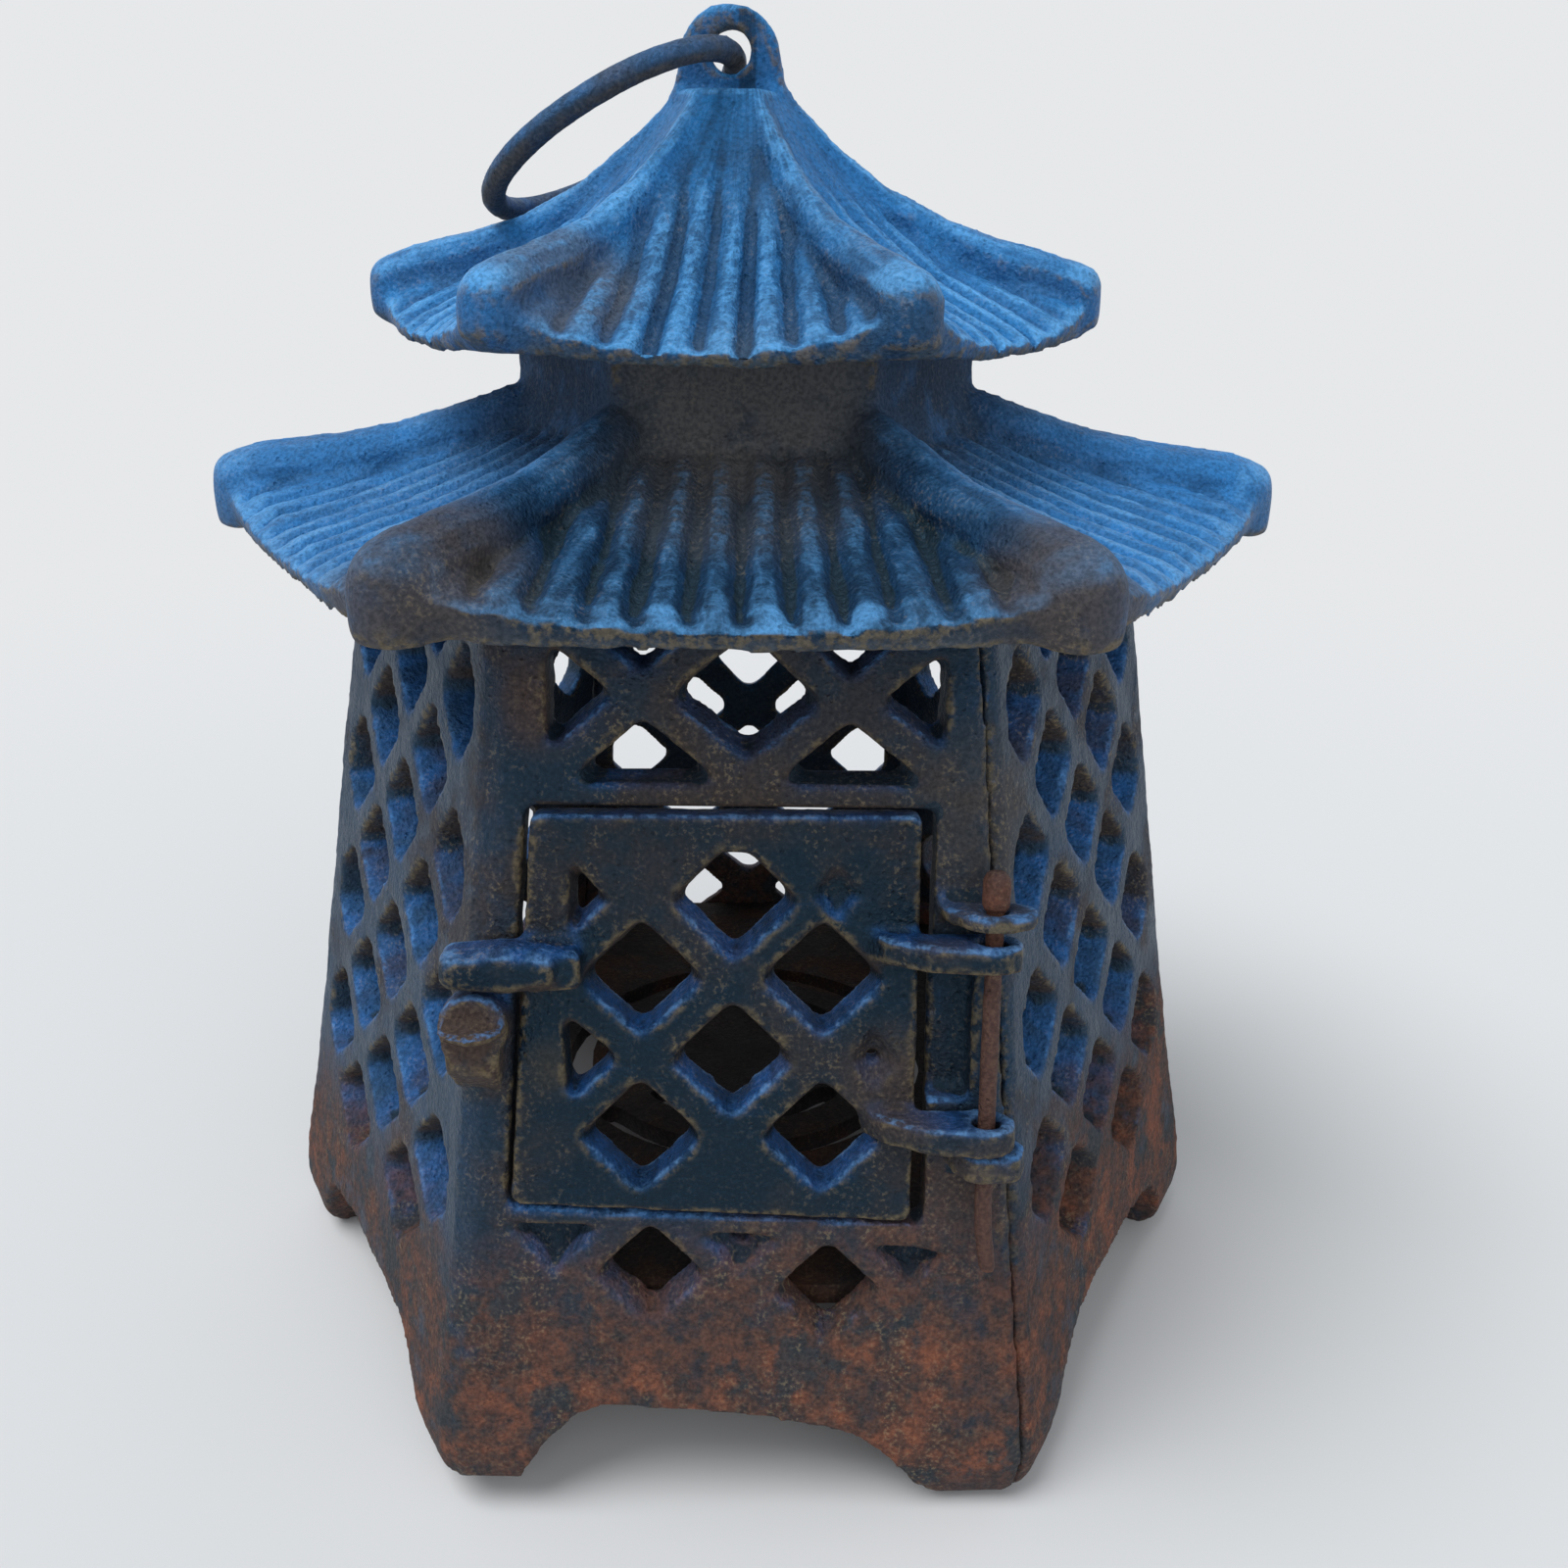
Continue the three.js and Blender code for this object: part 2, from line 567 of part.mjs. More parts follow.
// Door.
// The door is drawn in the frame of the front wall and placed by its group.
function door() {
  const outline = rounded(flat(doorOutline(0, 0, 0, 0)), 1.2);
  const ring = (list, y) => list.map(([x, z]) => V(x, y, z));
  const back = DOOR_T - DOOR_PROUD;
  const slab = loft([ring(outline, -DOOR_PROUD), ring(outline, back)]);
  const holes = [];
  const through = (outline, narrow, radius) => {
    const list = rounded(flat(outline), radius);
    const cx = list.reduce((t, p) => t + p[0], 0) / list.length;
    const cz = list.reduce((t, p) => t + p[1], 0) / list.length;
    const scaled = (t) => list.map(([x, z]) => [cx + (x - cx) * t, cz + (z - cz) * t]);
    const slope = (narrow - 1) / DOOR_T;
    const wide = ring(scaled(1 - 1.6 * slope), -DOOR_PROUD - 1.6);
    holes.push(loft([wide, ring(scaled(narrow + 1.6 * slope), back + 1.6)]));
  };
  for (const [x, z] of [[-15.6, 105], [13.2, 105], [-1.2, 91.4], [-16, 78.2], [13.4, 78.2]]) {
    through(diamond(x, z, [10.3, 10]), 0.8, 1.8);
  }
  through(clip(diamond(-0.8, 117.6, [10.3, 10.2]), 1, 125.4, true), 0.8, 1.5);
  through([[-19.4, 91.6], [-27.6, 83.6], [-28.4, 99.4]], 0.72, 1.2);
  through([[-20.4, 117.8], [-27, 111.2], [-26.6, 124.4]], 0.5, 0.9);
  const dimple = (cx, cz, hx, hz, depth) => {
    const poly = flat(diamond(cx, cz, [hx, hz]));
    const low = flat(diamond(cx, cz, [hx * 0.45, hz * 0.45]));
    holes.push(loft([ring(rounded(poly, 1.5), -DOOR_PROUD - 0.01), ring(rounded(low, 0.6), depth)]));
  };
  dimple(15.2, 119, 4.4, 6, 0.6);
  dimple(21.6, 91.6, 4.2, 6.6, 1);
  holes.push(toSolid(new THREE.CylinderGeometry(1.1, 1.1, 14, 10).translate(21.4, 0, along(91.4))));
  const ears = [UPPER_EAR, LOWER_EAR].map((span) => hingePlate(span, earOutline, EAR_HOLE_R));
  const tab = loft([
    [-0.4, 0], [-DOOR_PROUD - 4.4, 0.1], [-DOOR_PROUD - 6.4, 1.4],
  ].map(([y, inset]) => {
    const z0 = along(TAB_Z[0]) + inset;
    const z1 = along(TAB_Z[1]) - inset;
    const root = y < -1 ? -27.5 - inset : -29;
    return rounded([
      [TAB_LEFT + inset, z0 + 0.6], [-36, z0], [root, z0 + 1.2],
      [root, z1 - 0.6], [-36, z1], [TAB_LEFT + inset, z1 - 0.9],
    ], 1.8).map(([x, z]) => V(x, y, z));
  }));
  const reach = loft([-0.4, -DOOR_PROUD - 4.4].map((y) => rounded([
    [-33.2, along(103.9)], [-24.6, along(104.4)], [-24.6, along(110.4)], [-33.2, along(111.2)],
  ], 1).map(([x, z]) => V(x, y, z))));
  return join([cut(slab, holes), ...ears, tab, reach]);
}

// Hinge pin.
function hingePin() {
  const n = 12;
  const stations = [
    [0, PIN_TOP + 0.4, 0, PIN_R], [0, PIN_END + 11, 0, PIN_R], [0.25, PIN_END + 6, -0.25, PIN_R],
    [0.9, PIN_END + 0.8, -0.75, PIN_R * 0.98], [1.05, PIN_END, -0.85, PIN_R * 0.7],
  ];
  const shank = loft(stations.map(([dx, z, dy, r]) => {
    const ring = [];
    for (let i = 0; i < n; i += 1) {
      const t = (i / n) * Math.PI * 2;
      ring.push(V(PIN_X + dx + r * Math.cos(t), -PIN_OUT + dy + r * Math.sin(t), along(z)));
    }
    return ring;
  }));
  const z0 = along(PIN_TOP);
  const head = new THREE.LatheGeometry([
    [0, 0], [PIN_HEAD_R * 0.9, 0], [PIN_HEAD_R, 0.7], [PIN_HEAD_R, PIN_HEAD_H - 1.6],
    [PIN_HEAD_R * 0.72, PIN_HEAD_H - 0.4], [0, PIN_HEAD_H],
  ].map(([r, z]) => new THREE.Vector2(r, z)), 14);
  head.rotateX(Math.PI / 2);
  head.translate(PIN_X, -PIN_OUT, z0);
  return join([shank, toSolid(head)]);
}

// Floor plate.
function arcSlot(radius, width, from, to, z0, z1) {
  const list = [];
  const turn = (cx, cy, r, a0, a1, parts) => {
    for (let i = 0; i <= parts; i += 1) {
      const t = a0 + ((a1 - a0) * i) / parts;
      list.push([cx + r * Math.cos(t), cy + r * Math.sin(t)]);
    }
  };
  const r = width / 2;
  turn(0, 0, radius + r, from + 0.02, to - 0.02, 4);
  turn(radius * Math.cos(to), radius * Math.sin(to), r, to + 0.6, to + 2.5, 2);
  turn(0, 0, radius - r, to - 0.02, from + 0.02, 4);
  turn(radius * Math.cos(from), radius * Math.sin(from), r, from + 3.8, from + 5.7, 2);
  return extrude(polygonShape(list), z1 - z0, new THREE.Matrix4().makeTranslation(0, 0, z0));
}

function floorPlate() {
  const low = FLOOR_TOP - FLOOR_T;
  const radius = bodyR(FLOOR_TOP) - WALL_T / COS - FLOOR_GAP;
  const hexagon = [];
  for (let i = 0; i < SIDES; i += 1) {
    hexagon.push([radius * Math.cos(i * STEP), radius * Math.sin(i * STEP)]);
  }
  const raise = new THREE.Matrix4().makeTranslation(0, 0, low);
  const plate = extrude(polygonShape(rounded(hexagon, 6)), FLOOR_T, raise);
  const holes = [];
  for (let i = 0; i < SIDES; i += 1) {
    const middle = i * STEP + STEP / 2 + STEP / 2;
    holes.push(arcSlot(36, 5, middle - 0.34, middle + 0.34, low - 1, FLOOR_TOP + 1));
    holes.push(arcSlot(23.5, 5, middle - 0.3, middle + 0.3, low - 1, FLOOR_TOP + 1));
  }
  for (const x of [-ROD_X, ROD_X]) holes.push(cylinder(ROD_R + 0.6, low - 1, FLOOR_TOP + 1, x, 0));
  return cut(plate, holes);
}

// Roofs.
// Ribbed skin of a six-sided roof. Every face is a fan of columns that run
// down the slope, a valley and two shoulders for each rib. A column starts at
// the ring round the top or where it meets the hip, and ends at the eave. The
// valleys run out to the rim, and each rib ends before it in a sloping facet.
const LIFT_POWER = 2.5;
function roofSkin({
  inner, eave, pitch, fan, face, lift, rows, under, fade, depth, rimBottom, rimIn, cornerRise,
}) {
  const widest = eave * TAN;
  const cornerColumn = (a) => (a * TAN) / (1 - fan * (eave - a));
  const coarse = [0, cornerColumn(inner), ...under.slice(1).map(([a]) => cornerColumn(a)), widest];
  const columns = [...coarse];
  for (let v = 0; v < widest - pitch * 0.5; v += pitch) {
    for (const x of [v, v + pitch * 0.32, v + pitch * 0.68]) {
      if (x < widest - 1 && coarse.every((c) => Math.abs(x - c) > 0.7)) columns.push(x);
    }
  }
  const mirror = (list) => {
    const half = [...list].sort((p, q) => p - q);
    return [...half.slice(1).reverse().map((x) => -x), ...half];
  };
  const all = mirror(columns);
  const few = mirror(coarse);
  const valley = (x) => {
    const phase = Math.abs(x) / pitch;
    return Math.abs(phase - Math.round(phase)) < 0.02 ? 1 : 0;
  };
  const start = (x) => {
    const m = Math.abs(x);
    if (m <= cornerColumn(inner) + 1e-6) return inner;
    return Math.min(eave, (m * (1 - fan * eave)) / (TAN - fan * m));
  };
  const side = (x, a) => x * (1 - fan * (eave - a));
  const height = (x, a) => {
    const s = Math.min(1, Math.abs(side(x, a)) / (a * TAN));
    const ribbed = Math.abs(x) < widest - pitch * 0.6;
    const groove = valley(x) ? fade(a) : 0;
    const facet = !valley(x) && a > eave - 1e-6 ? 0.8 : 0;
    return face(a) + lift(a) * s ** LIFT_POWER - (ribbed ? depth * (groove + facet) : 0);
  };
  const points = [];
  const index = [];
  const seen = new Map();
  const id = (p) => {
    const key = [p.x, p.y, p.z].map((v) => Math.round(v * 2000)).join();
    if (!seen.has(key)) {
      seen.set(key, points.length);
      points.push(p);
    }
    return seen.get(key);
  };
  const tri = (a, b, c) => {
    if (a !== b && b !== c && a !== c) index.push(a, b, c);
  };
  const strips = (lists) => {
    for (let i = 0; i + 1 < lists.length; i += 1) {
      const p = lists[i];
      const q = lists[i + 1];
      for (let j = 0; j + 1 < p.length; j += 1) {
        tri(p[j], p[j + 1], q[j + 1]);
        tri(p[j], q[j + 1], q[j]);
      }
    }
  };
  for (let k = 0; k < SIDES; k += 1) {
    const c = Math.cos(wallAngle(k));
    const s = Math.sin(wallAngle(k));
    const at = (u, a, z) => id(V(a * c - u * s, a * s + u * c, z));
    const lipOf = (x) => {
      const a0 = start(x);
      const atCorner = a0 > eave - 1e-6;
      const crest = valley(x) || atCorner ? 0 : 0.7;
      const rim = atCorner ? eave : Math.max(eave - rimIn, a0);
      const rise = cornerRise * (Math.abs(x) / widest) ** LIFT_POWER;
      return at(side(x, rim), rim, rimBottom - crest + rise);
    };
    strips(all.map((x) => [
      ...rows.map((a) => {
        const b = Math.max(a, start(x));
        return at(side(x, b), b, height(x, b));
      }),
      lipOf(x),
    ]));
    const lows = few.map((x) => [...under].reverse().map(([a]) => {
      const b = Math.max(a, start(x));
      return b > eave - rimIn - 1e-6 ? lipOf(x) : at(side(x, b), b, interpolate(under, b));
    }));
    strips(lows);
    few.slice(1).forEach((x1, i) => {
      const x0 = few[i];
      const lips = all.filter((x) => x >= x0 && x <= x1).map(lipOf);
      for (let j = 0; j + 1 < lips.length; j += 1) tri(lips[j], lows[i][0], lips[j + 1]);
      tri(lips[lips.length - 1], lows[i][0], lows[i + 1][0]);
      if (start(x0) <= inner + 1e-6 && start(x1) <= inner + 1e-6) {
        const between = all.filter((x) => x >= x0 && x <= x1);
        const tops = between.map((x) => at(side(x, inner), inner, height(x, inner)));
        const end0 = lows[i][under.length - 1];
        const end1 = lows[i + 1][under.length - 1];
        for (let j = 0; j + 1 < tops.length; j += 1) tri(end0, tops[j], tops[j + 1]);
        tri(end0, tops[tops.length - 1], end1);
      }
    });
  }
  const g = new THREE.BufferGeometry();
  g.setAttribute('position', new THREE.Float32BufferAttribute(points.flatMap((p) => [p.x, p.y, p.z]), 3));
  g.setIndex(index);
  let solid = toSolid(g);
  if (solid.volume() < 0) {
    g.setIndex(index.map((_, i) => index[i - (i % 3) + [0, 2, 1][i % 3]]));
    solid = toSolid(g);
  }
  return solid;
}

// Raised ridge along a hip, ending in a blunt nose. Stations are given as
// [distance from the axis, height of the crest, half width, height of the base],
// the first as a share of the corner radius, the heights over a base level.
function hipRidges(stations, corner, base, soft) {
  const list = [];
  for (let i = 0; i < SIDES; i += 1) {
    const turn = new THREE.Matrix4().makeRotationZ(i * STEP);
    list.push(loft(stations.map(([r, top, half, low]) => {
      const shoulder = Math.min(soft, (top - low) * 0.6);
      return [
        [-half, low], [half, low], [half, top - shoulder], [half * 0.6, top - shoulder * 0.28],
        [0, top], [-half * 0.6, top - shoulder * 0.28], [-half, top - shoulder],
      ].map(([u, z]) => V(r * corner, u, base + z).applyMatrix4(turn));
    })));
  }
  return list;
}

function hexagonPrism(r, z0, z1, turn = 0) {
  const list = [];
  for (let i = 0; i < SIDES; i += 1) {
    const t = i * STEP + turn;
    list.push([r * Math.cos(t), r * Math.sin(t)]);
  }
  return extrude(polygonShape(list), z1 - z0, new THREE.Matrix4().makeTranslation(0, 0, z0));
}

const SEAT = BODY_TOP + REST;
const ROOF_IN = 34;
const down = (t) => ROOF_IN + (EAVE_A - ROOF_IN) * t;
const lowerFace = [
  [0, 17.8], [0.04, 16.8], [0.21, 12.6], [0.4, 8.8], [0.59, 5.6], [0.78, 2.9], [0.93, 1.2], [1, 0.8],
].map(([t, z]) => [down(t), BODY_TOP + z]);
const rimBottom = BODY_TOP + 0.8 - RIM_H;
function lowerRoof() {
  const wallOut = bodyR(BODY_TOP) * COS;
  const skin = roofSkin({
    inner: ROOF_IN,
    eave: EAVE_A,
    pitch: LOWER_RIB,
    fan: 0.0026,
    face: (a) => interpolate(lowerFace, a),
    lift: (a) => 6.6 * Math.max(0, (a - down(0.04)) / (EAVE_A - down(0.04))) ** 1.5,
    rows: [ROOF_IN, down(0.25), down(0.57), EAVE_A - RIB_END, EAVE_A],
    under: [
      [ROOF_IN, BODY_TOP + 10], [wallOut - WALL_T - 2.4, SEAT], [wallOut + 5.1, SEAT],
      [EAVE_A - 3.1, rimBottom + 1],
    ],
    fade: (a) => Math.min(1, 0.5 + (a - ROOF_IN) / 16),
    depth: RIB_DEPTH,
    rimBottom,
    rimIn: 1.6,
    cornerRise: 2.4,
  });
  const hips = hipRidges([
    [0.37, 24.2, 4.8, 12], [0.44, 22, 5, 12], [0.54, 18.6, 5.4, 9], [0.65, 15.3, 5.8, 5.5],
    [0.77, 13.2, 6.4, 3.5], [0.9, 11.6, 6.8, -2.6], [0.955, 10.4, 6.6, -4.4], [0.983, 9.4, 4.8, -4.6],
    [1, 7.8, 2.6, -4.2],
  ], EAVE_A / COS, BODY_TOP, 4.6);
  const neckOut = hexagonPrism(NECK_R, BODY_TOP + 8, NECK_TOP);
  const flareRings = [[16.6, 3.1], [19.4, 1.1], [24, 0.1]].map(([z, more]) => {
    const r = NECK_R + more;
    const ring = [];
    for (let i = 0; i < SIDES; i += 1) {
      ring.push(V(r * Math.cos(i * STEP), r * Math.sin(i * STEP), BODY_TOP + z));
    }
    return ring;
  });
  const neckIn = NECK_R - NECK_T;
  const bore = hexagonPrism(neckIn, BODY_TOP - 6, NECK_TOP + 1);
  const bridge = toSolid(new THREE.BoxGeometry(2 * neckIn + 4, 9, 5).translate(0, 0, NECK_TOP - 10));
  const bosses = [-ROD_X, ROD_X].map((x) => cylinder(5, BODY_TOP - 8.5, SEAT + 2, x, 0, 14));
  const holes = [cylinder(BOLT_R + 0.4, NECK_TOP - 19, NECK_TOP - 3, 0, 0)];
  for (const x of [-ROD_X, ROD_X]) holes.push(cylinder(ROD_R + REST, BODY_TOP - 16, ROD_HIGH + 0.6, x, 0));
  return cut(join([
    cut(join([skin, ...hips, neckOut, loft(flareRings)]), [bore]), bridge, ...bosses,
  ]), holes);
}

const UPPER_IN = 9;
const outwards = (t) => UPPER_IN + (UPPER_EAVE_A - UPPER_IN) * t;
const upperFace = [
  [-0.02, 37.6], [0.01, 37.4], [0.104, 30.6], [0.228, 23.6], [0.394, 16.2], [0.581, 9.8],
  [0.768, 5], [0.913, 2], [1, 1],
].map(([t, z]) => [outwards(t), NECK_TOP + z]);
const upperRimBottom = NECK_TOP + 1 - UPPER_RIM_H;
function upperRoof() {
  const neckOut = NECK_R * COS;
  const skin = roofSkin({
    inner: UPPER_IN,
    eave: UPPER_EAVE_A,
    pitch: UPPER_RIB,
    fan: 0.0066,
    face: (a) => interpolate(upperFace, a),
    lift: (a) => 7.5 * Math.max(0, (a - UPPER_IN) / (UPPER_EAVE_A - UPPER_IN)) ** 2,
    rows: [
      UPPER_IN, outwards(0.166), outwards(0.353), outwards(0.602), UPPER_EAVE_A - UPPER_RIB_END, UPPER_EAVE_A,
    ],
    under: [
      [UPPER_IN, NECK_TOP + 27], [neckOut - 6, NECK_TOP + REST], [neckOut + 6, NECK_TOP + REST],
      [UPPER_EAVE_A - 2.6, upperRimBottom + 0.8],
    ],
    fade: (a) => interpolate([[UPPER_IN + 2, 0], [UPPER_IN + 9, 0.7], [UPPER_IN + 18, 1]], a),
    depth: UPPER_RIB_DEPTH,
    rimBottom: upperRimBottom,
    rimIn: 1.4,
    cornerRise: 3.6,
  });
  const hips = hipRidges([
    [0.121, 38, 2.4, 31], [0.159, 37.4, 2.6, 29], [0.257, 31.4, 2.8, 23], [0.409, 23.8, 3.1, 15.5],
    [0.575, 18.2, 3.5, 10.4], [0.727, 15.3, 4.2, 7.4], [0.878, 12.8, 5, 1.6], [0.95, 11.4, 5.2, 0.2],
    [0.98, 10.4, 4, 0.2], [1, 8.9, 2.2, 0.8],
  ], UPPER_EAVE_A / COS, NECK_TOP, 3.6);
  const plateau = hexagonPrism(PLATEAU_R, NECK_TOP + 32, PLATEAU_Z);
  const outline = new THREE.Shape();
  const w = LUG_W / 2;
  outline.moveTo(-10, PLATEAU_Z - 2);
  outline.lineTo(10, PLATEAU_Z - 2);
  outline.lineTo(9.7, PLATEAU_Z + 0.6);
  outline.quadraticCurveTo(8.9, PLATEAU_Z + 2.6, w, LUG_TOP - w);
  outline.absarc(0, LUG_TOP - w, w, 0, Math.PI, false);
  outline.quadraticCurveTo(-8.9, PLATEAU_Z + 2.6, -9.7, PLATEAU_Z + 0.6);
  outline.lineTo(-10, PLATEAU_Z - 2);
  const eye = new THREE.Path();
  eye.absarc(0, LUG_EYE_Z, LUG_EYE_R, 0, Math.PI * 2, true);
  outline.holes.push(eye);
  const upright = new THREE.Matrix4().makeRotationX(Math.PI / 2).setPosition(0, LUG_T / 2, 0);
  const lug = extrude(outline, LUG_T, upright, 9);
  // the bolt stays in the middle of the body, so its boss is off the middle here
  const hub = V(-UPPER_SHIFT, 0, 0).applyAxisAngle(V(0, 0, 1), -UPPER_TURN);
  const boss = cylinder(6, NECK_TOP + 6, NECK_TOP + 32, hub.x, hub.y, 16);
  const core = hexagonPrism(PLATEAU_R, NECK_TOP + 23, NECK_TOP + 33);
  const bore = cylinder(BOLT_R + REST, NECK_TOP + 1, NECK_TOP + 27, hub.x, hub.y);
  return cut(join([skin, ...hips, plateau, core, boss, lug]), [bore]);
}

// Fasteners.
const hexNut = (r, z0, z1, x, y, bore) => {
  const nut = hexagonPrism(r, z0, z1).translate([x, y, 0]);
  return bore ? nut.subtract(cylinder(bore, z0 - 1, z1 + 1, x, y)) : nut;
};
const rod = (x) => cylinder(ROD_R, ROD_LOW, ROD_HIGH, x, 0, 12);
const washerTop = FLOOR_TOP - FLOOR_T - REST;
const washer = (x) => {
  const bore = cylinder(ROD_R + REST, washerTop - 2, washerTop + 1, x, 0);
  return cylinder(5, washerTop - 1, washerTop, x, 0).subtract(bore);
};
const nutTop = washerTop - 1 - REST;
const rodNut = (x) => hexNut(4.04, nutTop - 3.2, nutTop, x, 0, ROD_R + REST);
const boltHeadTop = NECK_TOP - 12.5 - REST;
const crownBolt = join([
  cylinder(BOLT_R, boltHeadTop - 1, NECK_TOP + 26, 0, 0, 14),
  hexNut(4.9, boltHeadTop - 3.5, boltHeadTop, 0, 0, 0),
]);

// Hanging ring.
// The ring passes through the eye of the lug and lies back against the left
// rear of the upper roof. It is drawn round its own middle, then turned.
const RING_SWING = THREE.MathUtils.degToRad(171);
const RING_DROP = THREE.MathUtils.degToRad(-30.9);
const RING_TWIST = THREE.MathUtils.degToRad(6);
const RING_SAG = 0.2;
function hangingRing() {
  const out = Math.cos(RING_DROP);
  const reach = V(out * Math.cos(RING_SWING), out * Math.sin(RING_SWING), Math.sin(RING_DROP));
  const level = V(-Math.sin(RING_SWING), Math.cos(RING_SWING), 0);
  const rise = V(0, 0, 0).crossVectors(reach, level);
  const across = level.clone().multiplyScalar(Math.cos(RING_TWIST));
  across.addScaledVector(rise, Math.sin(RING_TWIST));
  const normal = V(0, 0, 0).crossVectors(reach, across);
  const g = new THREE.TorusGeometry(RING_R, WIRE_R, 8, 36);
  const frame = new THREE.Matrix4().makeBasis(reach, across, normal);
  const centre = reach.clone().multiplyScalar(RING_R).add(V(UPPER_SHIFT, 0, LUG_EYE_Z - RING_SAG));
  return { geometry: g, matrix: frame.setPosition(centre) };
}

// Assembly.
const paint = (color, roughness, metalness) => (
  new THREE.MeshStandardMaterial({ color, roughness, metalness, flatShading: true })
);
const lantern = new THREE.Group();
function place(name, geometry, material, parent = lantern) {
  const mesh = new THREE.Mesh(geometry, material);
  mesh.name = name;
  parent.add(mesh);
  return mesh;
}

const blackIron = paint(0x20262e, 0.62, 0.35);
const rustyIron = paint(0x4a332a, 0.85, 0.2);
const blueBlack = paint(0x27374d, 0.55, 0.4);
place('front_body_half', toGeometry(frontHalf()), blackIron.clone());
place('rear_body_half', toGeometry(rearHalf()), blackIron.clone());
place('floor_plate', toGeometry(floorPlate()), paint(0x33261f, 0.9, 0.2));
place('lower_roof', toGeometry(lowerRoof()), blueBlack.clone());
const crown = new THREE.Group();
crown.rotation.z = UPPER_TURN;
crown.position.x = UPPER_SHIFT;
lantern.add(crown);
place('upper_roof', toGeometry(upperRoof()), blueBlack.clone(), crown);
const ring = hangingRing();
const ringMesh = place('hanging_ring', ring.geometry, paint(0x2c3440, 0.6, 0.5));
ringMesh.applyMatrix4(ring.matrix);

const front = new THREE.Group();
front.applyMatrix4(frontFrame);
lantern.add(front);
place('door', toGeometry(door()), blackIron.clone(), front);
place('hinge_pin', toGeometry(hingePin()), rustyIron.clone(), front);
for (const [side, x] of [['left', -ROD_X], ['right', ROD_X]]) {
  place(`tie_rod_${side}`, toGeometry(rod(x)), rustyIron.clone());
  place(`tie_rod_washer_${side}`, toGeometry(washer(x)), rustyIron.clone());
  place(`tie_rod_nut_${side}`, toGeometry(rodNut(x)), rustyIron.clone());
}
place('crown_bolt', toGeometry(crownBolt), rustyIron.clone());

lantern.position.z = -GROUND;
const standing = new THREE.Group();
standing.add(lantern);

export default standing;
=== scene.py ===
import math

import bpy
import numpy as np
from mathutils import Matrix, Vector


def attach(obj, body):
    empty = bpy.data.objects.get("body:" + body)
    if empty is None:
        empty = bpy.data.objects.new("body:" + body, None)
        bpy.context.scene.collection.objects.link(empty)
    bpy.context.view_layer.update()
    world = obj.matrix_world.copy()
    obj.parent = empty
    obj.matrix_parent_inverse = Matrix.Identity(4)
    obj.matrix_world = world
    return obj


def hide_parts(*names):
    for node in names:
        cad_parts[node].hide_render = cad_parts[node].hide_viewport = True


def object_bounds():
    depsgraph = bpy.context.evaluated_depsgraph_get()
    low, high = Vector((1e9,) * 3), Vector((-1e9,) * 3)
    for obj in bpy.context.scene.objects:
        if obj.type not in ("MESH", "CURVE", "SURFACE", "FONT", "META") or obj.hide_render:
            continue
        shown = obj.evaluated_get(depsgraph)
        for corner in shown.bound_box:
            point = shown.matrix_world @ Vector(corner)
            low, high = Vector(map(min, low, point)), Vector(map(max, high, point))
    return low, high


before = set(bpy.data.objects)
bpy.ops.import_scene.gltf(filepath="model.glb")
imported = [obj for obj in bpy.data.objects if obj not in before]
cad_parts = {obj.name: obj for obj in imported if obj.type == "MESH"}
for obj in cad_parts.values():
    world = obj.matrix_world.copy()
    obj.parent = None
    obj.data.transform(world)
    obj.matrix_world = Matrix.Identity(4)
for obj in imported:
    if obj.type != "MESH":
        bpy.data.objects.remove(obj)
solid_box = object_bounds()

# Camera. The photograph looks down at the lantern from a step in front of it,
# a hair to the right, with a lens of ordinary width. Position in millimetres.
MM = 0.001
EYE = Vector((3.2, -271.4, 208.3)) * MM
YAW, PITCH, ROLL = (math.radians(a) for a in (0.98, 21.32, 0.74))
FOCAL_PIXELS, FRAME_PIXELS = 1449, 1600

view_data = bpy.data.cameras.new("photo_view")
view_data.sensor_width = 36
view_data.lens = view_data.sensor_width * FOCAL_PIXELS / FRAME_PIXELS
view_data.clip_start = 0.01
photo_view = bpy.data.objects.new("photo_view", view_data)
bpy.context.scene.collection.objects.link(photo_view)
ahead = Vector((math.sin(YAW) * math.cos(PITCH), math.cos(YAW) * math.cos(PITCH), -math.sin(PITCH)))
level = Vector((math.cos(YAW), -math.sin(YAW), 0))
above = level.cross(ahead)
right = level * math.cos(ROLL) + above * math.sin(ROLL)
up = above * math.cos(ROLL) - level * math.sin(ROLL)
turned = Matrix((right, up, -ahead)).transposed().to_4x4()
photo_view.matrix_world = Matrix.Translation(EYE) @ turned
bpy.context.scene.camera = photo_view


# Floor and light. A pale studio floor that runs out into a backdrop of the same
# colour, one broad soft light from the upper left, a weak one low in front, and
# an even room light. Far from the lantern the floor is as even as the backdrop.
def linear(code):
    """A colour written as sRGB hex, in the linear values that the shaders take."""
    values = [int(code[i:i + 2], 16) / 255 for i in (1, 3, 5)]
    return tuple(v / 12.92 if v <= 0.04045 else ((v + 0.055) / 1.055) ** 2.4 for v in values) + (1.0,)


def add(tree, kind, links=None, out=0, **settings):
    """Adds one node with its settings, sets or links its inputs by name or number,
    and gives back one of its outputs."""
    node = tree.nodes.new(kind)
    for key, value in settings.items():
        setattr(node, key, value)
    for key, value in (links or {}).items():
        if isinstance(value, bpy.types.NodeSocket):
            tree.links.new(value, node.inputs[key])
        else:
            node.inputs[key].default_value = value
    return node.outputs[out]


